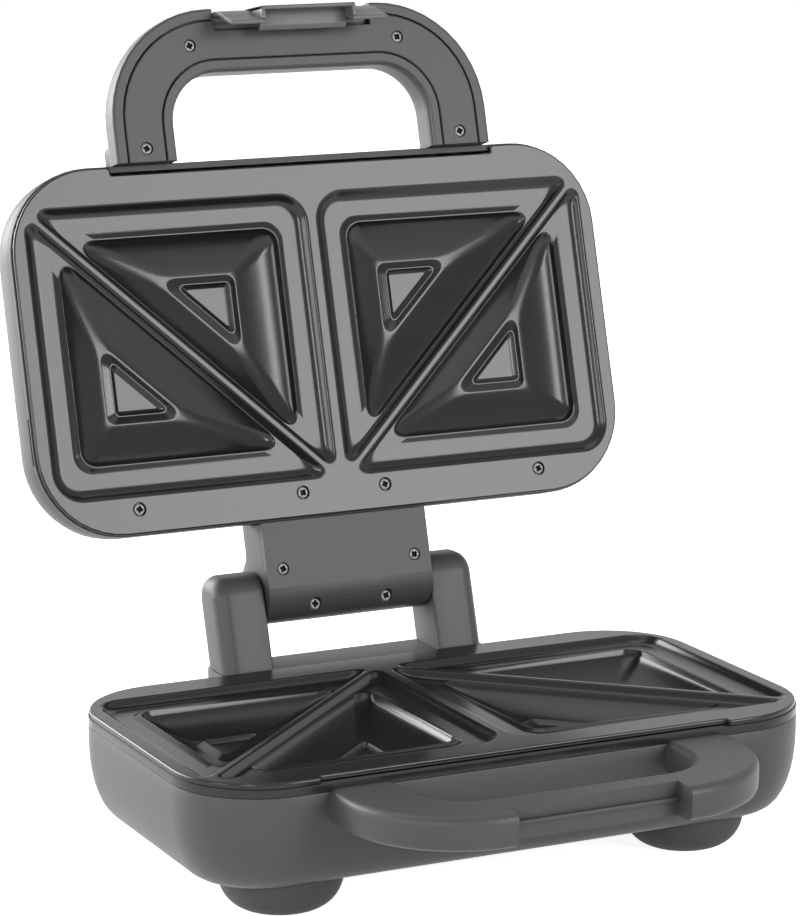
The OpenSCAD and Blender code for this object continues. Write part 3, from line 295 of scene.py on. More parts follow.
def moulded_plastic(name, shade, rough, grain=2600.0, depth=0.02):
    """Charcoal moulding with a fine spark-eroded grain."""
    skin, nodes, links, shader = finish_of(name)
    shader.inputs["Specular IOR Level"].default_value = 0.29
    cloud = noise(nodes, links, 28.0, 4.0)
    speck = noise(nodes, links, grain, 2.0)
    dark = (shade * 0.93,) * 3
    light = (shade * 1.07,) * 3
    links.new(tint(nodes, links, cloud, dark, light), shader.inputs["Base Color"])
    links.new(spread(nodes, links, speck, rough - 0.05, rough + 0.06), shader.inputs["Roughness"])
    bump(nodes, links, speck, depth, shader, 0.5)
    return skin


def nonstick(name):
    """Black satin coating over cast aluminium, with the spray's faint orange peel."""
    skin, nodes, links, shader = finish_of(name)
    shader.inputs["Specular IOR Level"].default_value = 0.32
    cloud = noise(nodes, links, 45.0, 4.0)
    speck = noise(nodes, links, 3400.0, 1.0)
    peel = noise(nodes, links, 420.0, 2.0)
    shade = tint(nodes, links, cloud, (0.0062, 0.0062, 0.0064), (0.0088, 0.0088, 0.009))
    links.new(shade, shader.inputs["Base Color"])
    links.new(spread(nodes, links, speck, 0.18, 0.25), shader.inputs["Roughness"])
    bump(nodes, links, peel, 0.003, shader, 0.4)
    return skin


def gloss_black(name):
    """Black moulding with a polished face."""
    skin, nodes, links, shader = finish_of(name)
    shader.inputs["Specular IOR Level"].default_value = 0.3
    cloud = noise(nodes, links, 60.0, 3.0)
    shade = tint(nodes, links, cloud, (0.008, 0.008, 0.0085), (0.013, 0.013, 0.0135))
    links.new(shade, shader.inputs["Base Color"])
    links.new(spread(nodes, links, cloud, 0.2, 0.28), shader.inputs["Roughness"])
    bump(nodes, links, noise(nodes, links, 300.0, 2.0), 0.004, shader, 0.4)
    return skin


def metal(name, dark, light, rough, scale, stretch=None):
    """Steel or aluminium with its drawing or turning marks."""
    skin, nodes, links, shader = finish_of(name)
    shader.inputs["Metallic"].default_value = 1.0
    marks = noise(nodes, links, scale, 4.0, stretch)
    links.new(tint(nodes, links, marks, dark, light), shader.inputs["Base Color"])
    links.new(spread(nodes, links, marks, rough - 0.06, rough + 0.1), shader.inputs["Roughness"])
    bump(nodes, links, marks, 0.004, shader, 0.4)
    return skin


def plain(name, dark, light, rough, scale, depth=0.02, shine=0.5):
    """Rubber, ceramic, laminate and other dull stuffs, mottled."""
    skin, nodes, links, shader = finish_of(name)
    shader.inputs["Specular IOR Level"].default_value = shine
    grain = noise(nodes, links, scale, 4.0)
    links.new(tint(nodes, links, grain, dark, light), shader.inputs["Base Color"])
    links.new(spread(nodes, links, grain, rough - 0.06, rough + 0.06), shader.inputs["Roughness"])
    bump(nodes, links, grain, depth, shader, 0.4)
    return skin


CHARCOAL = moulded_plastic("charcoal_plastic", 0.044, 0.45)
COVER_GREY = moulded_plastic("cover_plastic", 0.042, 0.46, grain=3000.0, depth=0.015)
LATCH_GREY = moulded_plastic("latch_plastic", 0.085, 0.42)
COATING = nonstick("nonstick_coating")
GLOSS = gloss_black("gloss_trim")
SATIN = moulded_plastic("satin_trim", 0.026, 0.5)
SCREW_STEEL = plain("blackened_screw", (0.17, 0.17, 0.17), (0.26, 0.26, 0.258), 0.4, 900.0, 0.004)
# near-black, dull finish for the cross recesses of the screw heads: painted shade in the recesses
PAINTED_RECESS_SHADE = plain("screw_recess_painted_shade", (0.006, 0.006, 0.006), (0.01, 0.01, 0.01), 0.7, 900.0, shine=0.08)
PIN_STEEL = metal("turned_pin", (0.5, 0.5, 0.5), (0.66, 0.66, 0.65), 0.25, 700.0, (8, 1, 1))
SHEATH = metal("heater_sheath", (0.2, 0.18, 0.15), (0.34, 0.31, 0.27), 0.45, 260.0)
SHEET = metal("reflector_sheet", (0.68, 0.68, 0.67), (0.8, 0.8, 0.79), 0.3, 400.0, (0.15, 4, 4))
SPRING = metal("spring_strip", (0.5, 0.5, 0.48), (0.66, 0.65, 0.62), 0.35, 500.0, (0.3, 3, 3))
RUBBER = plain("foot_rubber", (0.032, 0.032, 0.033), (0.044, 0.044, 0.045), 0.72, 1400.0, 0.03, 0.35)
BUSH = plain("inlet_bush", (0.02, 0.02, 0.02), (0.03, 0.03, 0.03), 0.6, 900.0)
CERAMIC = plain("ceramic_body", (0.62, 0.57, 0.48), (0.74, 0.7, 0.61), 0.35, 240.0)
TERMINAL = plain("terminal_moulding", (0.6, 0.58, 0.5), (0.7, 0.68, 0.6), 0.5, 180.0)
LAMINATE = plain("laminate_board", (0.3, 0.22, 0.09), (0.38, 0.29, 0.13), 0.55, 320.0)
RED = plain("red_lens", (0.45, 0.02, 0.015), (0.55, 0.03, 0.02), 0.15, 120.0, 0.003)
GREEN = plain("green_lens", (0.03, 0.32, 0.06), (0.045, 0.4, 0.09), 0.15, 120.0, 0.003)


# ---------------------------------------------------------------- shaping tools

SAME_PLACE = 1e-6


def verts_in(geom):
    """The vertices among what an operator gave back."""
    return [g for g in geom if isinstance(g, bmesh.types.BMVert)]


def level_with(edge, axis):
    """Whether both ends of an edge lie at the same place along an axis."""
    start, end = edge.verts
    return abs(start.co[axis] - end.co[axis]) < SAME_PLACE


def corner_line(corners, radii, steps=8):
    """Points of a closed line through corners, each rounded to its radius."""
    bm = bmesh.new()
    verts = [bm.verts.new(c) for c in corners]
    bm.faces.new(verts)
    for v, r in zip(verts, radii):
        if not r:
            continue
        one, two = (e.other_vert(v).co - v.co for e in v.link_edges)
        reach = r / math.tan(one.angle(two) / 2)
        bmesh.ops.bevel(bm, geom=[v], offset=reach, offset_type="OFFSET", segments=steps, profile=0.5,
                        affect="VERTICES", material=-1)
    bm.faces.ensure_lookup_table()
    points = [v.co.copy() for v in bm.faces[0].verts]
    bm.free()
    return points


def wire(bm, points):
    """Closed loop of edges through points."""
    verts = [bm.verts.new(p) for p in points]
    return [bm.edges.new((verts[i - 1], verts[i])) for i in range(len(verts))]


def skin_through(bm, lines, close_first=True, close_last=True):
    """Skin through closed lines of equal count, with its first and last line filled."""
    edges = wire(bm, lines[0])
    verts = [e.verts[1] for e in edges]
    loops = [edges]
    for line in lines[1:]:
        made = bmesh.ops.extrude_edge_only(bm, edges=loops[-1])["geom"]
        fresh = set(verts_in(made))
        verts = [next(e.other_vert(v) for e in v.link_edges if e.other_vert(v) in fresh) for v in verts]
        for v, p in zip(verts, line):
            v.co = p
        loops.append([bm.edges.get((verts[i - 1], verts[i])) for i in range(len(verts))])
    for close, loop in ((close_first, loops[0]), (close_last, loops[-1])):
        if close:
            bmesh.ops.contextual_create(bm, geom=loop)
    return loops


def plan(inset, z):
    """Outer line of the housings, moved in by inset, at height z."""
    x, y, r = (size - inset for size in SHELL)
    return corner_line([(i * x, j * y, z) for i, j in AROUND], [r] * 4, 12)


def bar(x0, x1, side, radii, edge, steps):
    """Prism along X between x0 and x1 with the given side view in (y, z), its end edges eased."""
    bm = bmesh.new()
    line = corner_line([(x0, y, z) for y, z in side], radii, steps)
    loop = wire(bm, line)
    face = bmesh.ops.contextual_create(bm, geom=loop)["faces"]
    swept = bmesh.ops.extrude_face_region(bm, geom=face)["geom"]
    bmesh.ops.translate(bm, verts=verts_in(swept), vec=(x1 - x0, 0, 0))
    rims = [e for e in bm.edges if level_with(e, 0)]
    bmesh.ops.bevel(bm, geom=rims, offset=edge, segments=3, profile=0.5, affect="EDGES", material=-1,
                    clamp_overlap=True)
    return bm


def block(low, high, edge=0.0, segments=3):
    """Box between two corners, its edges eased."""
    bm = bmesh.new()
    bmesh.ops.create_cube(bm, size=1.0)
    low, high = Vector(low), Vector(high)
    bmesh.ops.scale(bm, verts=bm.verts, vec=high - low)
    bmesh.ops.translate(bm, verts=bm.verts, vec=(low + high) / 2)
    if edge:
        bmesh.ops.bevel(bm, geom=bm.edges[:], offset=edge, segments=segments, profile=0.5, affect="EDGES",
                        material=-1)
    return bm


def rod(start, end, r, segments=32, edge=0.0):
    """Round bar between two points, its rims eased."""
    bm = bmesh.new()
    start, end = Vector(start), Vector(end)
    length = (end - start).length
    bmesh.ops.create_cone(bm, cap_ends=True, segments=segments, radius1=r, radius2=r, depth=length)
    if edge:
        rims = [e for e in bm.edges if level_with(e, 2)]
        bmesh.ops.bevel(bm, geom=rims, offset=edge, segments=3, profile=0.5, affect="EDGES", material=-1)
    turn = (end - start).to_track_quat("Z", "Y").to_matrix().to_4x4()
    bm.transform(Matrix.Translation((start + end) / 2) @ turn)
    return bm


def add(bm, other, place=Matrix.Identity(4), keep=False):
    """Adds other's shape to bm."""
    mesh = bpy.data.meshes.new("part")
    other.to_mesh(mesh)
    mesh.transform(place)
    bm.from_mesh(mesh)
    bpy.data.meshes.remove(mesh)
    if not keep:
        other.free()


def carved(bm, *tools):
    """bm with the tools' shapes cut out of it."""
    bmesh.ops.recalc_face_normals(bm, faces=bm.faces)
    mesh = bpy.data.meshes.new("body")
    bm.to_mesh(mesh)
    bm.free()
    body = bpy.data.objects.new("body", mesh)
    bpy.context.collection.objects.link(body)
    knives = []
    for tool in tools:
        bmesh.ops.recalc_face_normals(tool, faces=tool.faces)
        blade = bpy.data.meshes.new("knife")
        tool.to_mesh(blade)
        tool.free()
        knife = bpy.data.objects.new("knife", blade)
        bpy.context.collection.objects.link(knife)
        knives.append(knife)
        cut = body.modifiers.new("cut", "BOOLEAN")
        cut.operation = "DIFFERENCE"
        cut.solver = "EXACT"
        cut.object = knife
    bpy.context.view_layer.update()
    result = bmesh.new()
    result.from_mesh(body.evaluated_get(bpy.context.evaluated_depsgraph_get()).to_mesh())
    for thing in [body] + knives:
        data = thing.data
        bpy.data.objects.remove(thing)
        bpy.data.meshes.remove(data)
    return result


def piece(name, bm, place, body, skin, nodes, sharp=34, flats=True):
    """Finished piece in its place, riding on its body and standing for its CAD nodes. Edges sharper
    than sharp degrees are creased. With flats, level faces also stay flat up to their edges."""
    bmesh.ops.remove_doubles(bm, verts=bm.verts, dist=0.002)
    bmesh.ops.recalc_face_normals(bm, faces=bm.faces)
    bm.normal_update()
    level = {face for face in bm.faces if flats and abs(face.normal.z) > 0.99995}
    bm.transform(place)
    bmesh.ops.recalc_face_normals(bm, faces=bm.faces)
    limit = math.radians(sharp)
    crease = math.radians(2)
    for edge in bm.edges:
        turn = edge.calc_face_angle(0) if len(edge.link_faces) == 2 else math.pi
        edge.smooth = turn < (crease if level.intersection(edge.link_faces) else limit)
    for face in bm.faces:
        face.smooth = True
    mesh = bpy.data.meshes.new(name)
    bm.to_mesh(mesh)
    bm.free()
    made = bpy.data.objects.new(name, mesh)
    bpy.context.collection.objects.link(made)
    made.data.materials.append(skin)
    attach(made, body)
    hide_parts(*nodes)
    return made


# ---------------------------------------------------------------- cooking plates

def half_line(a, b, square_r, sharp_r, z):
    """Rounded triangle in the outer back half of the left pocket, moved in by a from the
    pocket's two outer sides and by b from its diagonal."""
    hx, hy = POCKET[0] / 2, POCKET[1] / 2
    diagonal = math.hypot(hx, hy)
    x, y = -hx + a, hy - a
    corners = [(x, y, z), (x, (b * diagonal + hy * x) / hx, z), ((hx * y - b * diagonal) / hy, y, z)]
    return corner_line(corners, [square_r, sharp_r, sharp_r])


def half_pocket():
    """Half a pocket from its rim down to its floor, with a bead round the bowl and a ridge on the floor."""
    bm = bmesh.new()
    # each step: insets from the outer sides and from the diagonal, radii of the square and sharp
    # corners, height from the rim's top, and for the bead its rise
    wall = [
        (-0.9, 0.7, 12.9, 3.8, 0.0), (-0.45, 1.1, 12.45, 3.6, -0.05), (0.0, 1.45, 12.0, 3.4, -0.26),
        (0.5, 1.75, 11.5, 3.3, -0.68), (1.0, 2.05, 11.0, 3.25, -1.22), (1.6, 2.4, 10.4, 3.2, -1.82),
        (2.3, 2.8, 9.8, 3.2, -2.36), (3.1, 3.2, 9.1, 3.2, -2.76), (3.9, 3.5, 8.5, 3.2, -3.0),
        (4.6, 3.6, 8.1, 3.3, -3.09), (5.2, 3.62, 8.0, 3.4, -3.1),
    ]
    lines = [half_line(a, b, sq, sh, RIM_TOP + z) for a, b, sq, sh, z in wall]
    bead = [
        (10.2, 3.64, 8.3, 4.0, -3.1, 0.0), (10.7, 3.65, 8.0, 4.05, -3.1, 0.06),
        (11.2, 3.66, 7.8, 4.1, -3.1, 0.26), (11.7, 3.67, 7.5, 4.2, -3.1, 0.52),
        (12.2, 3.68, 7.3, 4.3, -3.1, 0.78), (12.6, 3.69, 7.1, 4.4, -3.1, 0.95),
        (12.95, 3.7, 6.9, 4.5, -3.1, 1.02), (13.25, 3.73, 6.8, 4.6, -3.15, 0.96),
        (13.5, 3.8, 6.7, 4.7, -3.5, 0.6),
    ]
    # the bead runs along the pocket's outer sides: where it ends and how wide it is, and the lengths
    # over which it fades
    bead_end, end_fade = 89.5, 1.0
    bead_wide, side_fade = 16.5, 1.5
    corner = Vector((-POCKET[0] / 2, POCKET[1] / 2, 0))
    for a, b, sq, sh, z, lift in bead:
        line = half_line(a, b, sq, sh, RIM_TOP + z)
        for p in line:
            along = max(abs(p.x - corner.x), abs(p.y - corner.y))
            beside = min(abs(p.x - corner.x), abs(p.y - corner.y))
            rise = min(1.0, max(0.0, (bead_end - along) / end_fade))
            rise *= min(1.0, max(0.0, (bead_wide - beside) / side_fade))
            p.z += lift * rise
        lines.append(line)
    # the bowl's slope from its edge to its floor, as shares of its width and depth
    slope = [
        (0.02, 0.11), (0.05, 0.185), (0.1, 0.27), (0.2, 0.395), (0.33, 0.53), (0.46, 0.643), (0.59, 0.748),
        (0.71, 0.838), (0.79, 0.893), (0.85, 0.932), (0.9, 0.96), (0.95, 0.986), (1.0, 1.0),
    ]
    for out, down in slope:
        lines.append(half_line(13.5 + 16.0 * out, 3.8 + 13.9 * out, 6.7 - 2.7 * out, 4.7 - 0.9 * out,
                               RIM_TOP + LEDGE_DROP + BOWL_DROP * down))
    ridge = [
        (29.9, 18.4, 4.0, 3.7, -12.5), (30.3, 18.9, 3.8, 3.5, -12.38), (32.5, 20.7, 2.6, 2.3, -10.85),
        (32.85, 21.0, 2.4, 2.1, -10.72), (33.15, 21.25, 2.2, 1.9, -10.72), (33.4, 21.5, 1.9, 1.6, -10.9),
        (34.9, 23.1, 0.6, 0.5, -12.35), (35.2, 23.4, 0.4, 0.3, -12.45),
    ]
    lines += [half_line(a, b, sq, sh, RIM_TOP + z) for a, b, sq, sh, z in ridge]
    skin_through(bm, lines, close_first=False)
    return bm


def notched(inset, z):
    """Plate's outer line, set back behind the handles."""
    x, y, r = (size - inset for size in RIM)
    nx, ny = 86.0 + inset, 3.2
    corners = [(-x, -y, z), (-nx, -y, z), (-nx, -y + ny, z), (nx, -y + ny, z), (nx, -y, z), (x, -y, z),
               (x, y, z), (-x, y, z)]
    return corner_line(corners, [r, 1.2, 1.2, 1.2, 1.2, r, r, r], 10)


def circle(x, y, r, z):
    """Points of a circle about (x, y)."""
    bm = bmesh.new()
    bmesh.ops.create_circle(bm, segments=32, radius=r)
    points = [v.co + Vector((x, y, z)) for v in bm.verts]
    bm.free()
    return points


def tub_line(side, inset, z):
    """Line round the tub under the left or right pocket."""
    x, y, r = TUB
    corners = [(side * POCKET_X + i * (x - inset), j * (y - inset), z) for i, j in AROUND]
    return corner_line(corners, [r - inset] * 4)


def plate(name, place, body, wells, bosses, boss_low):
    """One cooking plate, cooking side up. wells are the screws that show in its rim, bosses take
    the screws from its back."""
    bm = bmesh.new()
    half = half_pocket()
    for side in (1, -1):
        for turn in (0, math.pi):
            turned = Matrix.Translation((-POCKET_X, 0, 0)) @ Matrix.Rotation(turn, 4, "Z")
            add(bm, half, Matrix.Scale(side, 4, (1, 0, 0)) @ turned, keep=True)
    half.free()
    mouths = [e for e in bm.edges
              if len(e.link_faces) == 1 and all(v.co.z > RIM_TOP - 0.001 for v in e.verts)]
    edge_steps = [(0.7, 0.0), (0.3, 0.08), (0.06, 0.3), (0, 0.7), (0, 2.0)]
    lines = [notched(inset, RIM_TOP - drop) for inset, drop in edge_steps]
    loops = skin_through(bm, lines, close_first=False, close_last=False)
    holes = []
    well_steps = [(2.95, 0.0), (2.72, 0.18), (WELL_R, 1.6), (0.4, 1.6)]
    for x in wells:
        rings = [circle(x, SCREW_ROW, r, RIM_TOP - drop) for r, drop in well_steps]
        holes += skin_through(bm, rings, close_first=False)[0]
    bmesh.ops.triangle_fill(bm, use_beauty=True, edges=loops[0] + mouths + holes, normal=(0, 0, 1))
    tub_steps = [(0, RIM_TOP - 2.0), (0, -13.6), (0.5, -14.8), (1.6, -15.2)]
    for side in SIDES:
        under = skin_through(bm, [tub_line(side, inset, z) for inset, z in tub_steps], close_first=False)
        loops.append(under[0])
    bmesh.ops.triangle_fill(bm, use_beauty=True, edges=loops[-3] + loops[-2] + loops[-1], normal=(0, 0, -1))
    for x, y in bosses:
        add(bm, rod((x, y, -2.1), (x, y, -boss_low), BOSS_R, 24, 0.4))
    piece(name, bm, place, body, COATING, [name], sharp=40)


# ---------------------------------------------------------------- housings

def housing(name, levels, place, body, extra=()):
    """Shell through rounded rectangles: (inset, height) up its outside from the closed end, and back
    down its inside."""
    bm = bmesh.new()
    skin_through(bm, [plan(inset, z) for inset, z in levels])
    for other in extra:
        add(bm, other)
    piece(name, bm, place, body, CHARCOAL, [name], flats=False)


def base_levels():
    """Steps of the lower housing."""
    rise = [math.radians(a) for a in (90, 80, 70, 60, 50, 40, 30, 20, 10, 0)]
    outside = [(13 * (1 - math.cos(a)), -13.5 - 30 * math.sin(a)) for a in rise]
    inside = [(2.5 + 13 * (1 - math.cos(a)), -13.5 - 27.5 * math.sin(a)) for a in reversed(rise)]
    return outside + [(0, -6.2), (0.12, -5.85), (0.4, -5.7), (2.2, -5.7)] + inside


def lid_levels():
    """Steps of the upper housing."""
    rise = [math.radians(a) for a in (0, 10, 20, 30, 40, 50, 60, 70, 80, 90)]
    outside = [(20 * (1 - math.cos(a)), 14 + 20 * math.sin(a)) for a in reversed(rise)]
    inside = [(2.5 + 17.5 * (1 - math.cos(a)), 14 + 17.5 * math.sin(a)) for a in rise]
    return outside + [(0, 6.2), (0.12, 5.85), (0.4, 5.7), (2.2, 5.7)] + inside


def rear_block():
    """Block behind the plates that carries the posts."""
    wide, back, low = BLOCK
    front, top, neck = 75.0, -3, 76
    bm = block((-wide, front, low), (wide, back, top))

    def eased(chosen, radius, steps):
        """Rounds the edges that are chosen by their two ends."""
        edges = [e for e in bm.edges if chosen(*(v.co for v in e.verts))]
        bmesh.ops.bevel(bm, geom=edges, offset=radius, segments=steps, profile=0.5, affect="EDGES",
                        material=-1, clamp_overlap=True)

    eased(lambda a, b: min(a.y, b.y) > 100 and abs(a.x - b.x) < SAME_PLACE, 6, 8)
    eased(lambda a, b: max(a.z, b.z) < low + 0.1 and min(a.y, b.y) > neck, 9, 8)
    eased(lambda a, b: min(a.z, b.z) > top - 0.01 and min(a.y, b.y) > neck, 0.8, 3)
    add(bm, block((-wide, 62, -43), (wide, neck, -6)))
    return bm


def trim_ring(name, place, body, low, skin, slots=False):
    """Ring between a shell and its plate."""
    bm = bmesh.new()
    high = low + RING_HEIGHT
    profile = [(2.6, low), (0.3, low), (0.05, low + 0.12), (0, low + 0.4), (0, high - 0.4),
               (0.05, high - 0.12), (0.3, high), (2.6, high)]
    lines = [plan(inset, z) for inset, z in profile + profile[:1]]
    skin_through(bm, lines, close_first=False, close_last=False)
    bmesh.ops.remove_doubles(bm, verts=bm.verts, dist=0.002)
    if slots:
        half_slot = Vector((1.4, 9.5, 0.7))
        spots = [Vector((side * SHELL[0], 33.5, low + RING_HEIGHT / 2)) for side in SIDES]
        bm = carved(bm, *(block(spot - half_slot, spot + half_slot) for spot in spots))
    piece(name, bm, place, body, skin, [name])


# ---------------------------------------------------------------- handles

def bow_line(reach, outer, inner, z):
    """Line round a bow handle, moved in by outer at its outside and by inner at the hand opening."""
    x, y, r = BOW[0] - outer, reach - outer, BOW[1] - outer
    wx, wy, wr = (size + inner for size in HAND_OPENING)
    root = HANDLE_ROOT
    corners = [(-x, -root, z), (-x, -y, z), (x, -y, z), (x, -root, z), (wx, -root, z), (wx, -wy, z),
               (-wx, -wy, z), (-wx, -root, z)]
    return corner_line(corners, [0, r, r, 0, 0, wr, wr, 0], 12)


def bow(reach, profile):
    """Bow handle through (outer, inner, height) steps."""
    bm = bmesh.new()
    skin_through(bm, [bow_line(reach, o, i, z) for o, i, z in profile])
    return bm


def base_handle():
    """Lower handle, with the latch's place and the lip that it catches on."""
    low, high = -17.9, -4.6
    shape = bow(BASE_REACH, [
        (4.5, 4.0, low), (2.4, 2.0, low + 0.35), (0.9, 0.8, low + 1.3), (0.15, 0.2, low + 2.9),
        (0, 0, low + 4.5), (0, 0, high - 3.4), (0.12, 0.15, high - 2.1), (0.7, 0.6, high - 0.9),
        (1.7, 1.4, high - 0.25), (3.0, 2.6, high),
    ])
    shape = carved(shape, block((-LATCH_BAY, -140, low - 2), (LATCH_BAY, -122, high + 2)))
    lip_half = LATCH_BAY + 0.1
    add(shape, block((-lip_half, -124.4, -11.7), (lip_half, -121.9, -10.2), 0.35, 2))
    piece("base_handle", shape, IN_BASE, "base", CHARCOAL, ["base_handle"])


def lid_handle():
    """Upper handle, with its border round the cover, the latch's place and the pads on its legs."""
    shape = bow(LID_REACH, [
        (4.5, 4.5, -1.9), (4.5, 4.5, -4.05), (4.3, 4.3, -4.2), (1.1, 1.5, -4.2), (0.5, 1.05, -4.08),
        (0.12, 0.85, -3.7), (0, 0.8, -3.1), (0, 0.3, -2.8), (0, 0.03, -2.4), (0, 0, 0.6), (0, 0, 3.5),
        (0.5, 0.0, 6.0), (1.7, 0.1, 8.2), (3.7, 0.5, 9.8), (6.0, 1.2, 10.55), (8.5, 2.4, 10.8),
    ])
    pin = Vector((39.6, 0, 0))
    shape = carved(shape, block((-LATCH_BAY, -150, -6), (LATCH_BAY, -126.6, 6.0)),
                   rod(PIVOT - pin, PIVOT + pin, 1.3))
    for side in SIDES:
        leg = side * 72
        add(shape, block((leg - 10, -84, -1.0), (leg + 10, -HANDLE_ROOT, 17), 2.2))
    piece("lid_handle", shape, IN_LID, "lid", CHARCOAL, ["lid_handle"])


def lid_handle_cover():
    """Cover let into the upper handle, with wells for its screws."""
    steps = [(4.8, -2.0), (5.2, -2.3), (5.2, -3.7), (5.35, -4.05), (5.7, -4.2)]
    shape = bow(LID_REACH, [(inset, inset, z) for inset, z in steps])
    cuts = [block((-35.2, -150, -6), (35.2, -127.1, 0))]
    for side in SIDES:
        for x, y in HANDLE_SCREWS:
            cuts.append(rod((side * x, y, -2.7), (side * x, y, -6), WELL_R))
    shape = carved(shape, *cuts)
    piece("lid_handle_cover", shape, IN_LID, "lid", COVER_GREY, ["lid_handle_cover"])


# ---------------------------------------------------------------- screws

def cross_head():
    """Domed screw head with a cross recess, its top towards +z at 0."""
    r, depth, dome = HEAD_R, 0.95, 0.28
    bm = bmesh.new()
    reach, wide = r * 0.62, r * 0.2
    corners = []
    for k in range(4):
        turn = Matrix.Rotation(k * math.pi / 2, 3, "Z")
        for x, y in ((reach, -wide), (reach, wide), (wide * 1.5, wide * 1.5)):
            corners.append(turn @ Vector((x, y, 0)))
    rim_angles = [-math.pi + k * math.pi / 16 for k in range(32)]
    angles = sorted({round(a, 5) for a in rim_angles + [math.atan2(c.y, c.x) for c in corners]})

    def spoke(angle):
        """Distance from the middle to the cross's edge at this angle."""
        ray = Vector((math.cos(angle), math.sin(angle)))
        best = None
        for i, p in enumerate(corners):
            q = corners[(i + 1) % len(corners)]
            edge = (q - p).xy
            turn = ray.x * edge.y - ray.y * edge.x
            if abs(turn) < 1e-9:
                continue
            far = (p.x * edge.y - p.y * edge.x) / turn
            part = (p.x * ray.y - p.y * ray.x) / turn
            if far > 0 and -1e-4 <= part <= 1.0001:
                best = far if best is None else min(best, far)
        return best

    def ring(scale, z, to_cross=False):
        """Points round the head, or round its cross."""
        out = []
        for a in angles:
            far = spoke(a) * scale if to_cross else r * scale
            out.append(Vector((math.cos(a) * far, math.sin(a) * far, z)))
        return out

    lines = [ring(0.7, -1.4), ring(0.99, -1.4), ring(1.0, -1.3), ring(1.0, -0.45 - dome),
             ring(0.94, -0.18 - dome * 0.6), ring(0.82, -dome * 0.25), ring(1.1, 0.0, True),
             ring(1.0, -0.06, True), ring(0.86, -depth, True), ring(0.3, -depth - 0.1, True)]
    skin_through(bm, lines)
    # the faces down in the cross recess take the second material, which paints the recess's shade
    for face in bm.faces:
        middle = face.calc_center_median()
        face.material_index = int(middle.xy.length < reach and -depth - 0.2 < middle.z < -0.2)
    return bm


def screws(name, spots, hidden=()):
    """Screws with their heads towards -z: (x, y, z of the head's top, turn, length), and the ones
    inside the lid with their heads towards +y: (x, y and z under the head, length)."""
    bm = bmesh.new()
    head = cross_head()
    for x, y, z, turn, length in spots:
        spot = Matrix.Translation((x, y, z)) @ Matrix.Rotation(math.radians(turn), 4, "Z") @ UPSIDE_DOWN
        add(bm, head, spot, keep=True)
        add(bm, rod((x, y, z + 1.3), (x, y, z + 1.4 + length), THREAD_R, 16))
    head.free()
    for x, y, z, length in hidden:
        add(bm, rod((x, y, z), (x, y + 1.4, z), HEAD_R, 32, 0.3))
        add(bm, rod((x, y - length, z), (x, y, z), THREAD_R, 16))
    made = piece(name, bm, IN_LID, "lid", SCREW_STEEL, [name], sharp=38)
    # second material: painted shade for the cross recesses
    made.data.materials.append(PAINTED_RECESS_SHADE)


# ---------------------------------------------------------------- hinge

def post(side, name):
    """Leaning post, rounded over its top and down its outer edges."""
    low, foot, top = -12.0, -2.9, 34.5
    front, front_lean = 79.3, math.tan(math.radians(17))
    back, back_lean = 102.7, (111.1 - 102.7) / 27.9

    def at(start, z, slope):
        """Point of a leaning side at height z."""
        return (start + (z - foot) * slope, z)

    corners = [at(front, low, front_lean), at(back, low, back_lean), at(back, top, back_lean),
               at(front, top, front_lean)]
    inner, outer = 37.7, 58.7
    bm = bmesh.new()
    line = corner_line([(inner + 1.0, y, z) for y, z in corners], [0, 0, 9.5, 9.5], 10)
    loop = wire(bm, line)
    face = bmesh.ops.contextual_create(bm, geom=loop)["faces"][0]
    swept = bmesh.ops.extrude_face_region(bm, geom=[face])["geom"]
    bmesh.ops.translate(bm, verts=verts_in(swept), vec=(outer - inner - 7.5, 0, 0))
    bm.normal_update()
    ends = [f for f in bm.faces if len(f.verts) > 8]
    ends.sort(key=lambda f: f.calc_center_median().x)
    for end, r, steps in ((ends[0], 1.0, 3), (ends[1], 6.5, 8)):
        outward = Vector((-1 if end is ends[0] else 1, 0, 0))
        if end.normal.dot(outward) < 0:
            end.normal_flip()
        for k in range(steps):
            one, two = (math.radians(90 * (k + i) / steps) for i in (0, 1))
            inset = r * (math.cos(one) - math.cos(two))
            rise = r * (math.sin(two) - math.sin(one))
            bmesh.ops.inset_region(bm, faces=[end], thickness=inset, depth=0, use_even_offset=True)
            bmesh.ops.translate(bm, verts=end.verts, vec=outward * rise)
    cut = bmesh.ops.bisect_plane(bm, geom=bm.verts[:] + bm.edges[:] + bm.faces[:], plane_co=(0, 0, foot),
                                 plane_no=(0, 0, 1), clear_inner=True)["geom_cut"]
    bmesh.ops.holes_fill(bm, edges=[g for g in cut if isinstance(g, bmesh.types.BMEdge)])
    if side < 0:
        bm.transform(Matrix.Scale(-1, 4, (1, 0, 0)))
    piece(name, bm, IN_BASE, "base", CHARCOAL, [name])


def arm():
    """Arm between the lid and the posts, with its barrel round the pins, and its cover."""
    side = [(75.0, 6.7), (113.3, 6.7), (113.3, 18.1), (116, 18.1), (116, 35.9), (98.4, 35.9), (88, 25),
            (71.8, 25), (73.9, 20), (75, 14.5)]
    body = bar(-ARM_HALF, ARM_HALF, side, [0, 11.0, 0, 0, 12.25, 12.25, 3.0, 0, 0, 0], 0.8, 10)
    piece("hinge_arm", body, IN_LID, "lid", CHARCOAL, ["hinge_arm"])
    side = [(75.0, 4.0), (116, 4.0), (116, 18.0), (113.4, 18.0), (113.4, 6.6), (75.0, 6.6)]
    cover = bar(-ARM_HALF, ARM_HALF, side, [0, 13.95, 0, 0, 11.3, 0], 0.7, 12)
    cuts = []
    for s in SIDES:
        for (x, y), depth in ((ARM_COVER_SCREWS, 5.5), (ARM_BARREL_SCREWS, 8.6)):
            cuts.append(rod((s * x, y, depth), (s * x, y, 0), WELL_R))
    cover = carved(cover, *cuts)
    piece("hinge_arm_cover", cover, IN_LID, "lid", COVER_GREY, ["hinge_arm_cover"])


# ---------------------------------------------------------------- latch

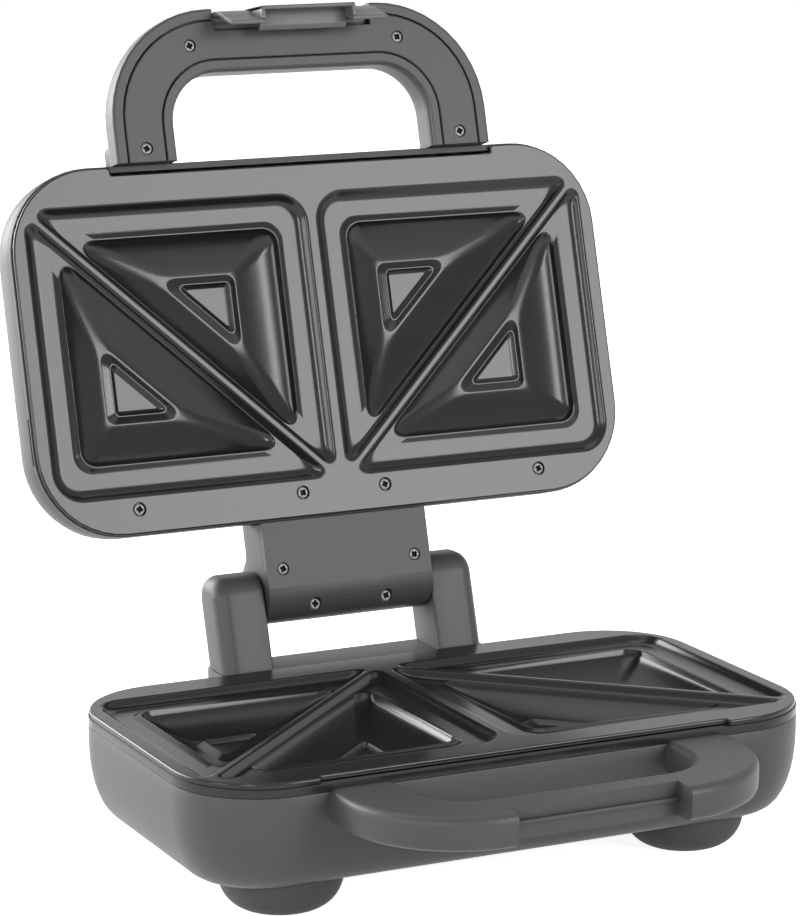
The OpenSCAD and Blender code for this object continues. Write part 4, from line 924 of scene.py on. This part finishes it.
def latch():
    """Latch on its pin: a curved wing at each side, the finger grip with its cheeks and the hook."""
    # y of its outer face, height of its tip, half widths of the whole, the grip and between the cheeks
    out, z = -134.4, -22.0
    half, grip_half, cheek_in = 35, 21, 19.4
    barrel = Vector((half, 0, 0))
    shape = rod(PIVOT - barrel, PIVOT + barrel, 2.85, 32, 0.3)
    wing = [(-130.0, 3.0), (out, 1.0), (out, -5), (out + 1.1, -9), (out + 3.6, -13.5), (out + 6.6, -17.6),
            (-125.4, z), (-123.8, z + 0.6), (out + 7.9, -16.4), (out + 5, -12.3), (out + 2.7, -8.4),
            (out + 1.8, -4.6), (out + 2.1, -2), (-129.5, 0.0)]
    soft = [0, 0.8, 3, 4, 4, 4, 0.5, 0.5, 4, 4, 4, 3, 0.5, 0]
    grip = [(-130.0, 3.0), (out, 1.0), (out - 0.4, -5), (-131.2, z - 0.2), (-129.6, z), (out + 1.2, -4.6),
            (out + 2.1, -2), (-129.5, 0.0)]
    grip_soft = [0, 0.8, 2, 0.5, 0.5, 2, 0.5, 0]
    hook = [(out + 1.6, -15.2), (out + 1.6, -10.5), (-128.4, -12.0), (-123.4, -12.0), (-123.4, -13.0),
            (-125.0, -14.4)]
    cheek = [(out, 0), (out - 0.4, -5), (-131.2, z - 0.2), (-125.4, z), (out + 6.6, -17.2),
             (out + 3.6, -13.0), (out + 1.1, -8)]
    for side in SIDES:
        x0, x1 = sorted((side * cheek_in, side * half))
        add(shape, bar(x0, x1, wing, soft, 0.3, 3))
        x0, x1 = sorted((side * cheek_in, side * grip_half))
        add(shape, bar(x0, x1, cheek, [0, 2, 0.5, 0.5, 4, 4, 4], 0.3, 3))
    add(shape, bar(-grip_half, grip_half, grip, grip_soft, 0.3, 3))
    add(shape, bar(-cheek_in, cheek_in, hook, [0.3, 0.3, 0.3, 0.4, 0.4, 0.4], 0.2, 2))
    piece("latch", shape, IN_LATCH, "latch", LATCH_GREY, ["latch"])


# ---------------------------------------------------------------- feet

def foot(x, y, name):
    """Round foot turned about its screw hole."""
    bm = bmesh.new()
    profile = [(2.7, -53.1), (2.7, -58.6), (3.1, -59.0), (11.2, -59.0)]
    turns = [math.radians(d) for d in range(86, -1, -6)]
    profile += [(12 + 12 * math.cos(a), -45.1 - 13.9 * math.sin(a)) for a in turns]
    profile += [(24.0, -44.2), (23.6, -43.65), (22.8, -43.6), (2.7, -43.6)]
    verts = [bm.verts.new((r, 0, z)) for r, z in profile]
    edges = [bm.edges.new(pair) for pair in zip(verts, verts[1:])]
    edges.append(bm.edges.new((verts[-1], verts[0])))
    bmesh.ops.spin(bm, geom=verts + edges, cent=(0, 0, 0), axis=(0, 0, 1), angle=2 * math.pi, steps=64,
                   use_merge=True)
    bm.transform(Matrix.Translation((x, y, 0)))
    piece(name, bm, IN_BASE, "base", RUBBER, [name])


# ---------------------------------------------------------------- the toaster

camera()
studio()
floor()

plate("lower_plate", IN_BASE, "base", [], LOWER_BOSSES, 15.2)
upper_bosses = [(x, SCREW_ROW) for x in SCREWS_IN_RIM]
plate("upper_plate", IN_LID @ UPSIDE_DOWN, "lid", SCREWS_IN_RIM, upper_bosses, 8.0)
trim_ring("base_trim_ring", IN_BASE, "base", -5.6, GLOSS)
trim_ring("lid_trim_ring", IN_LID, "lid", 2.3, SATIN, slots=True)
housing("base_shell", base_levels(), IN_BASE, "base", [rear_block()])
housing("lid_shell", lid_levels(), IN_LID, "lid")
base_handle()
lid_handle()
lid_handle_cover()
post(-1, "hinge_post_left")
post(1, "hinge_post_right")
arm()
latch()
for corner, (x, y) in FEET.items():
    foot(x, y, "foot_" + corner)

rim_spots = [(x, SCREW_ROW, 0.25, turn, 15) for x, turn in zip(SCREWS_IN_RIM, SCREW_TURNS)]
screws("upper_plate_screws", rim_spots)
for name, (x, y), top, turns, length in (
    ("arm_cover_screws", ARM_COVER_SCREWS, 4.05, (25, 50), 9),
    ("arm_barrel_screws", ARM_BARREL_SCREWS, 7.2, (10, 35), 7),
):
    screws(name, [(side * x, y, top, turn, length) for side, turn in zip(SIDES, turns)])
handle_spots = []
for (x, y), turn in zip(HANDLE_SCREWS, (12, 48)):
    handle_spots += [(side * x, y, -3.9, turn + 30 * side, 6) for side in SIDES]
screws("lid_handle_screws", handle_spots, LEG_SCREWS)

# pieces that are hidden or plain enough to be shown as the solids are
CAD_FINISHES = {
    SCREW_STEEL: ["lower_plate_screws", "base_handle_screws", "post_screws", "foot_screws",
                  "arm_mount_screws"],
    PIN_STEEL: ["hinge_pin_left", "hinge_pin_right", "latch_pin"],
    SHEATH: ["lower_element", "upper_element"],
    SPRING: ["lower_element_clips", "upper_element_clips"],
    SHEET: ["lower_reflector", "upper_reflector"],
    BUSH: ["cord_gland"],
    TERMINAL: ["terminal_block"],
    CERAMIC: ["thermostat", "thermal_fuse"],
    LAMINATE: ["lamp_board"],
    RED: ["power_lamp"],
    GREEN: ["ready_lamp"],
}
for skin, names in CAD_FINISHES.items():
    for name in names:
        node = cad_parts[name]
        if node.material_slots:
            for socket in node.material_slots:
                socket.material = skin
        else:
            node.data.materials.append(skin)

bpy.context.scene.view_settings.view_transform = "Standard"
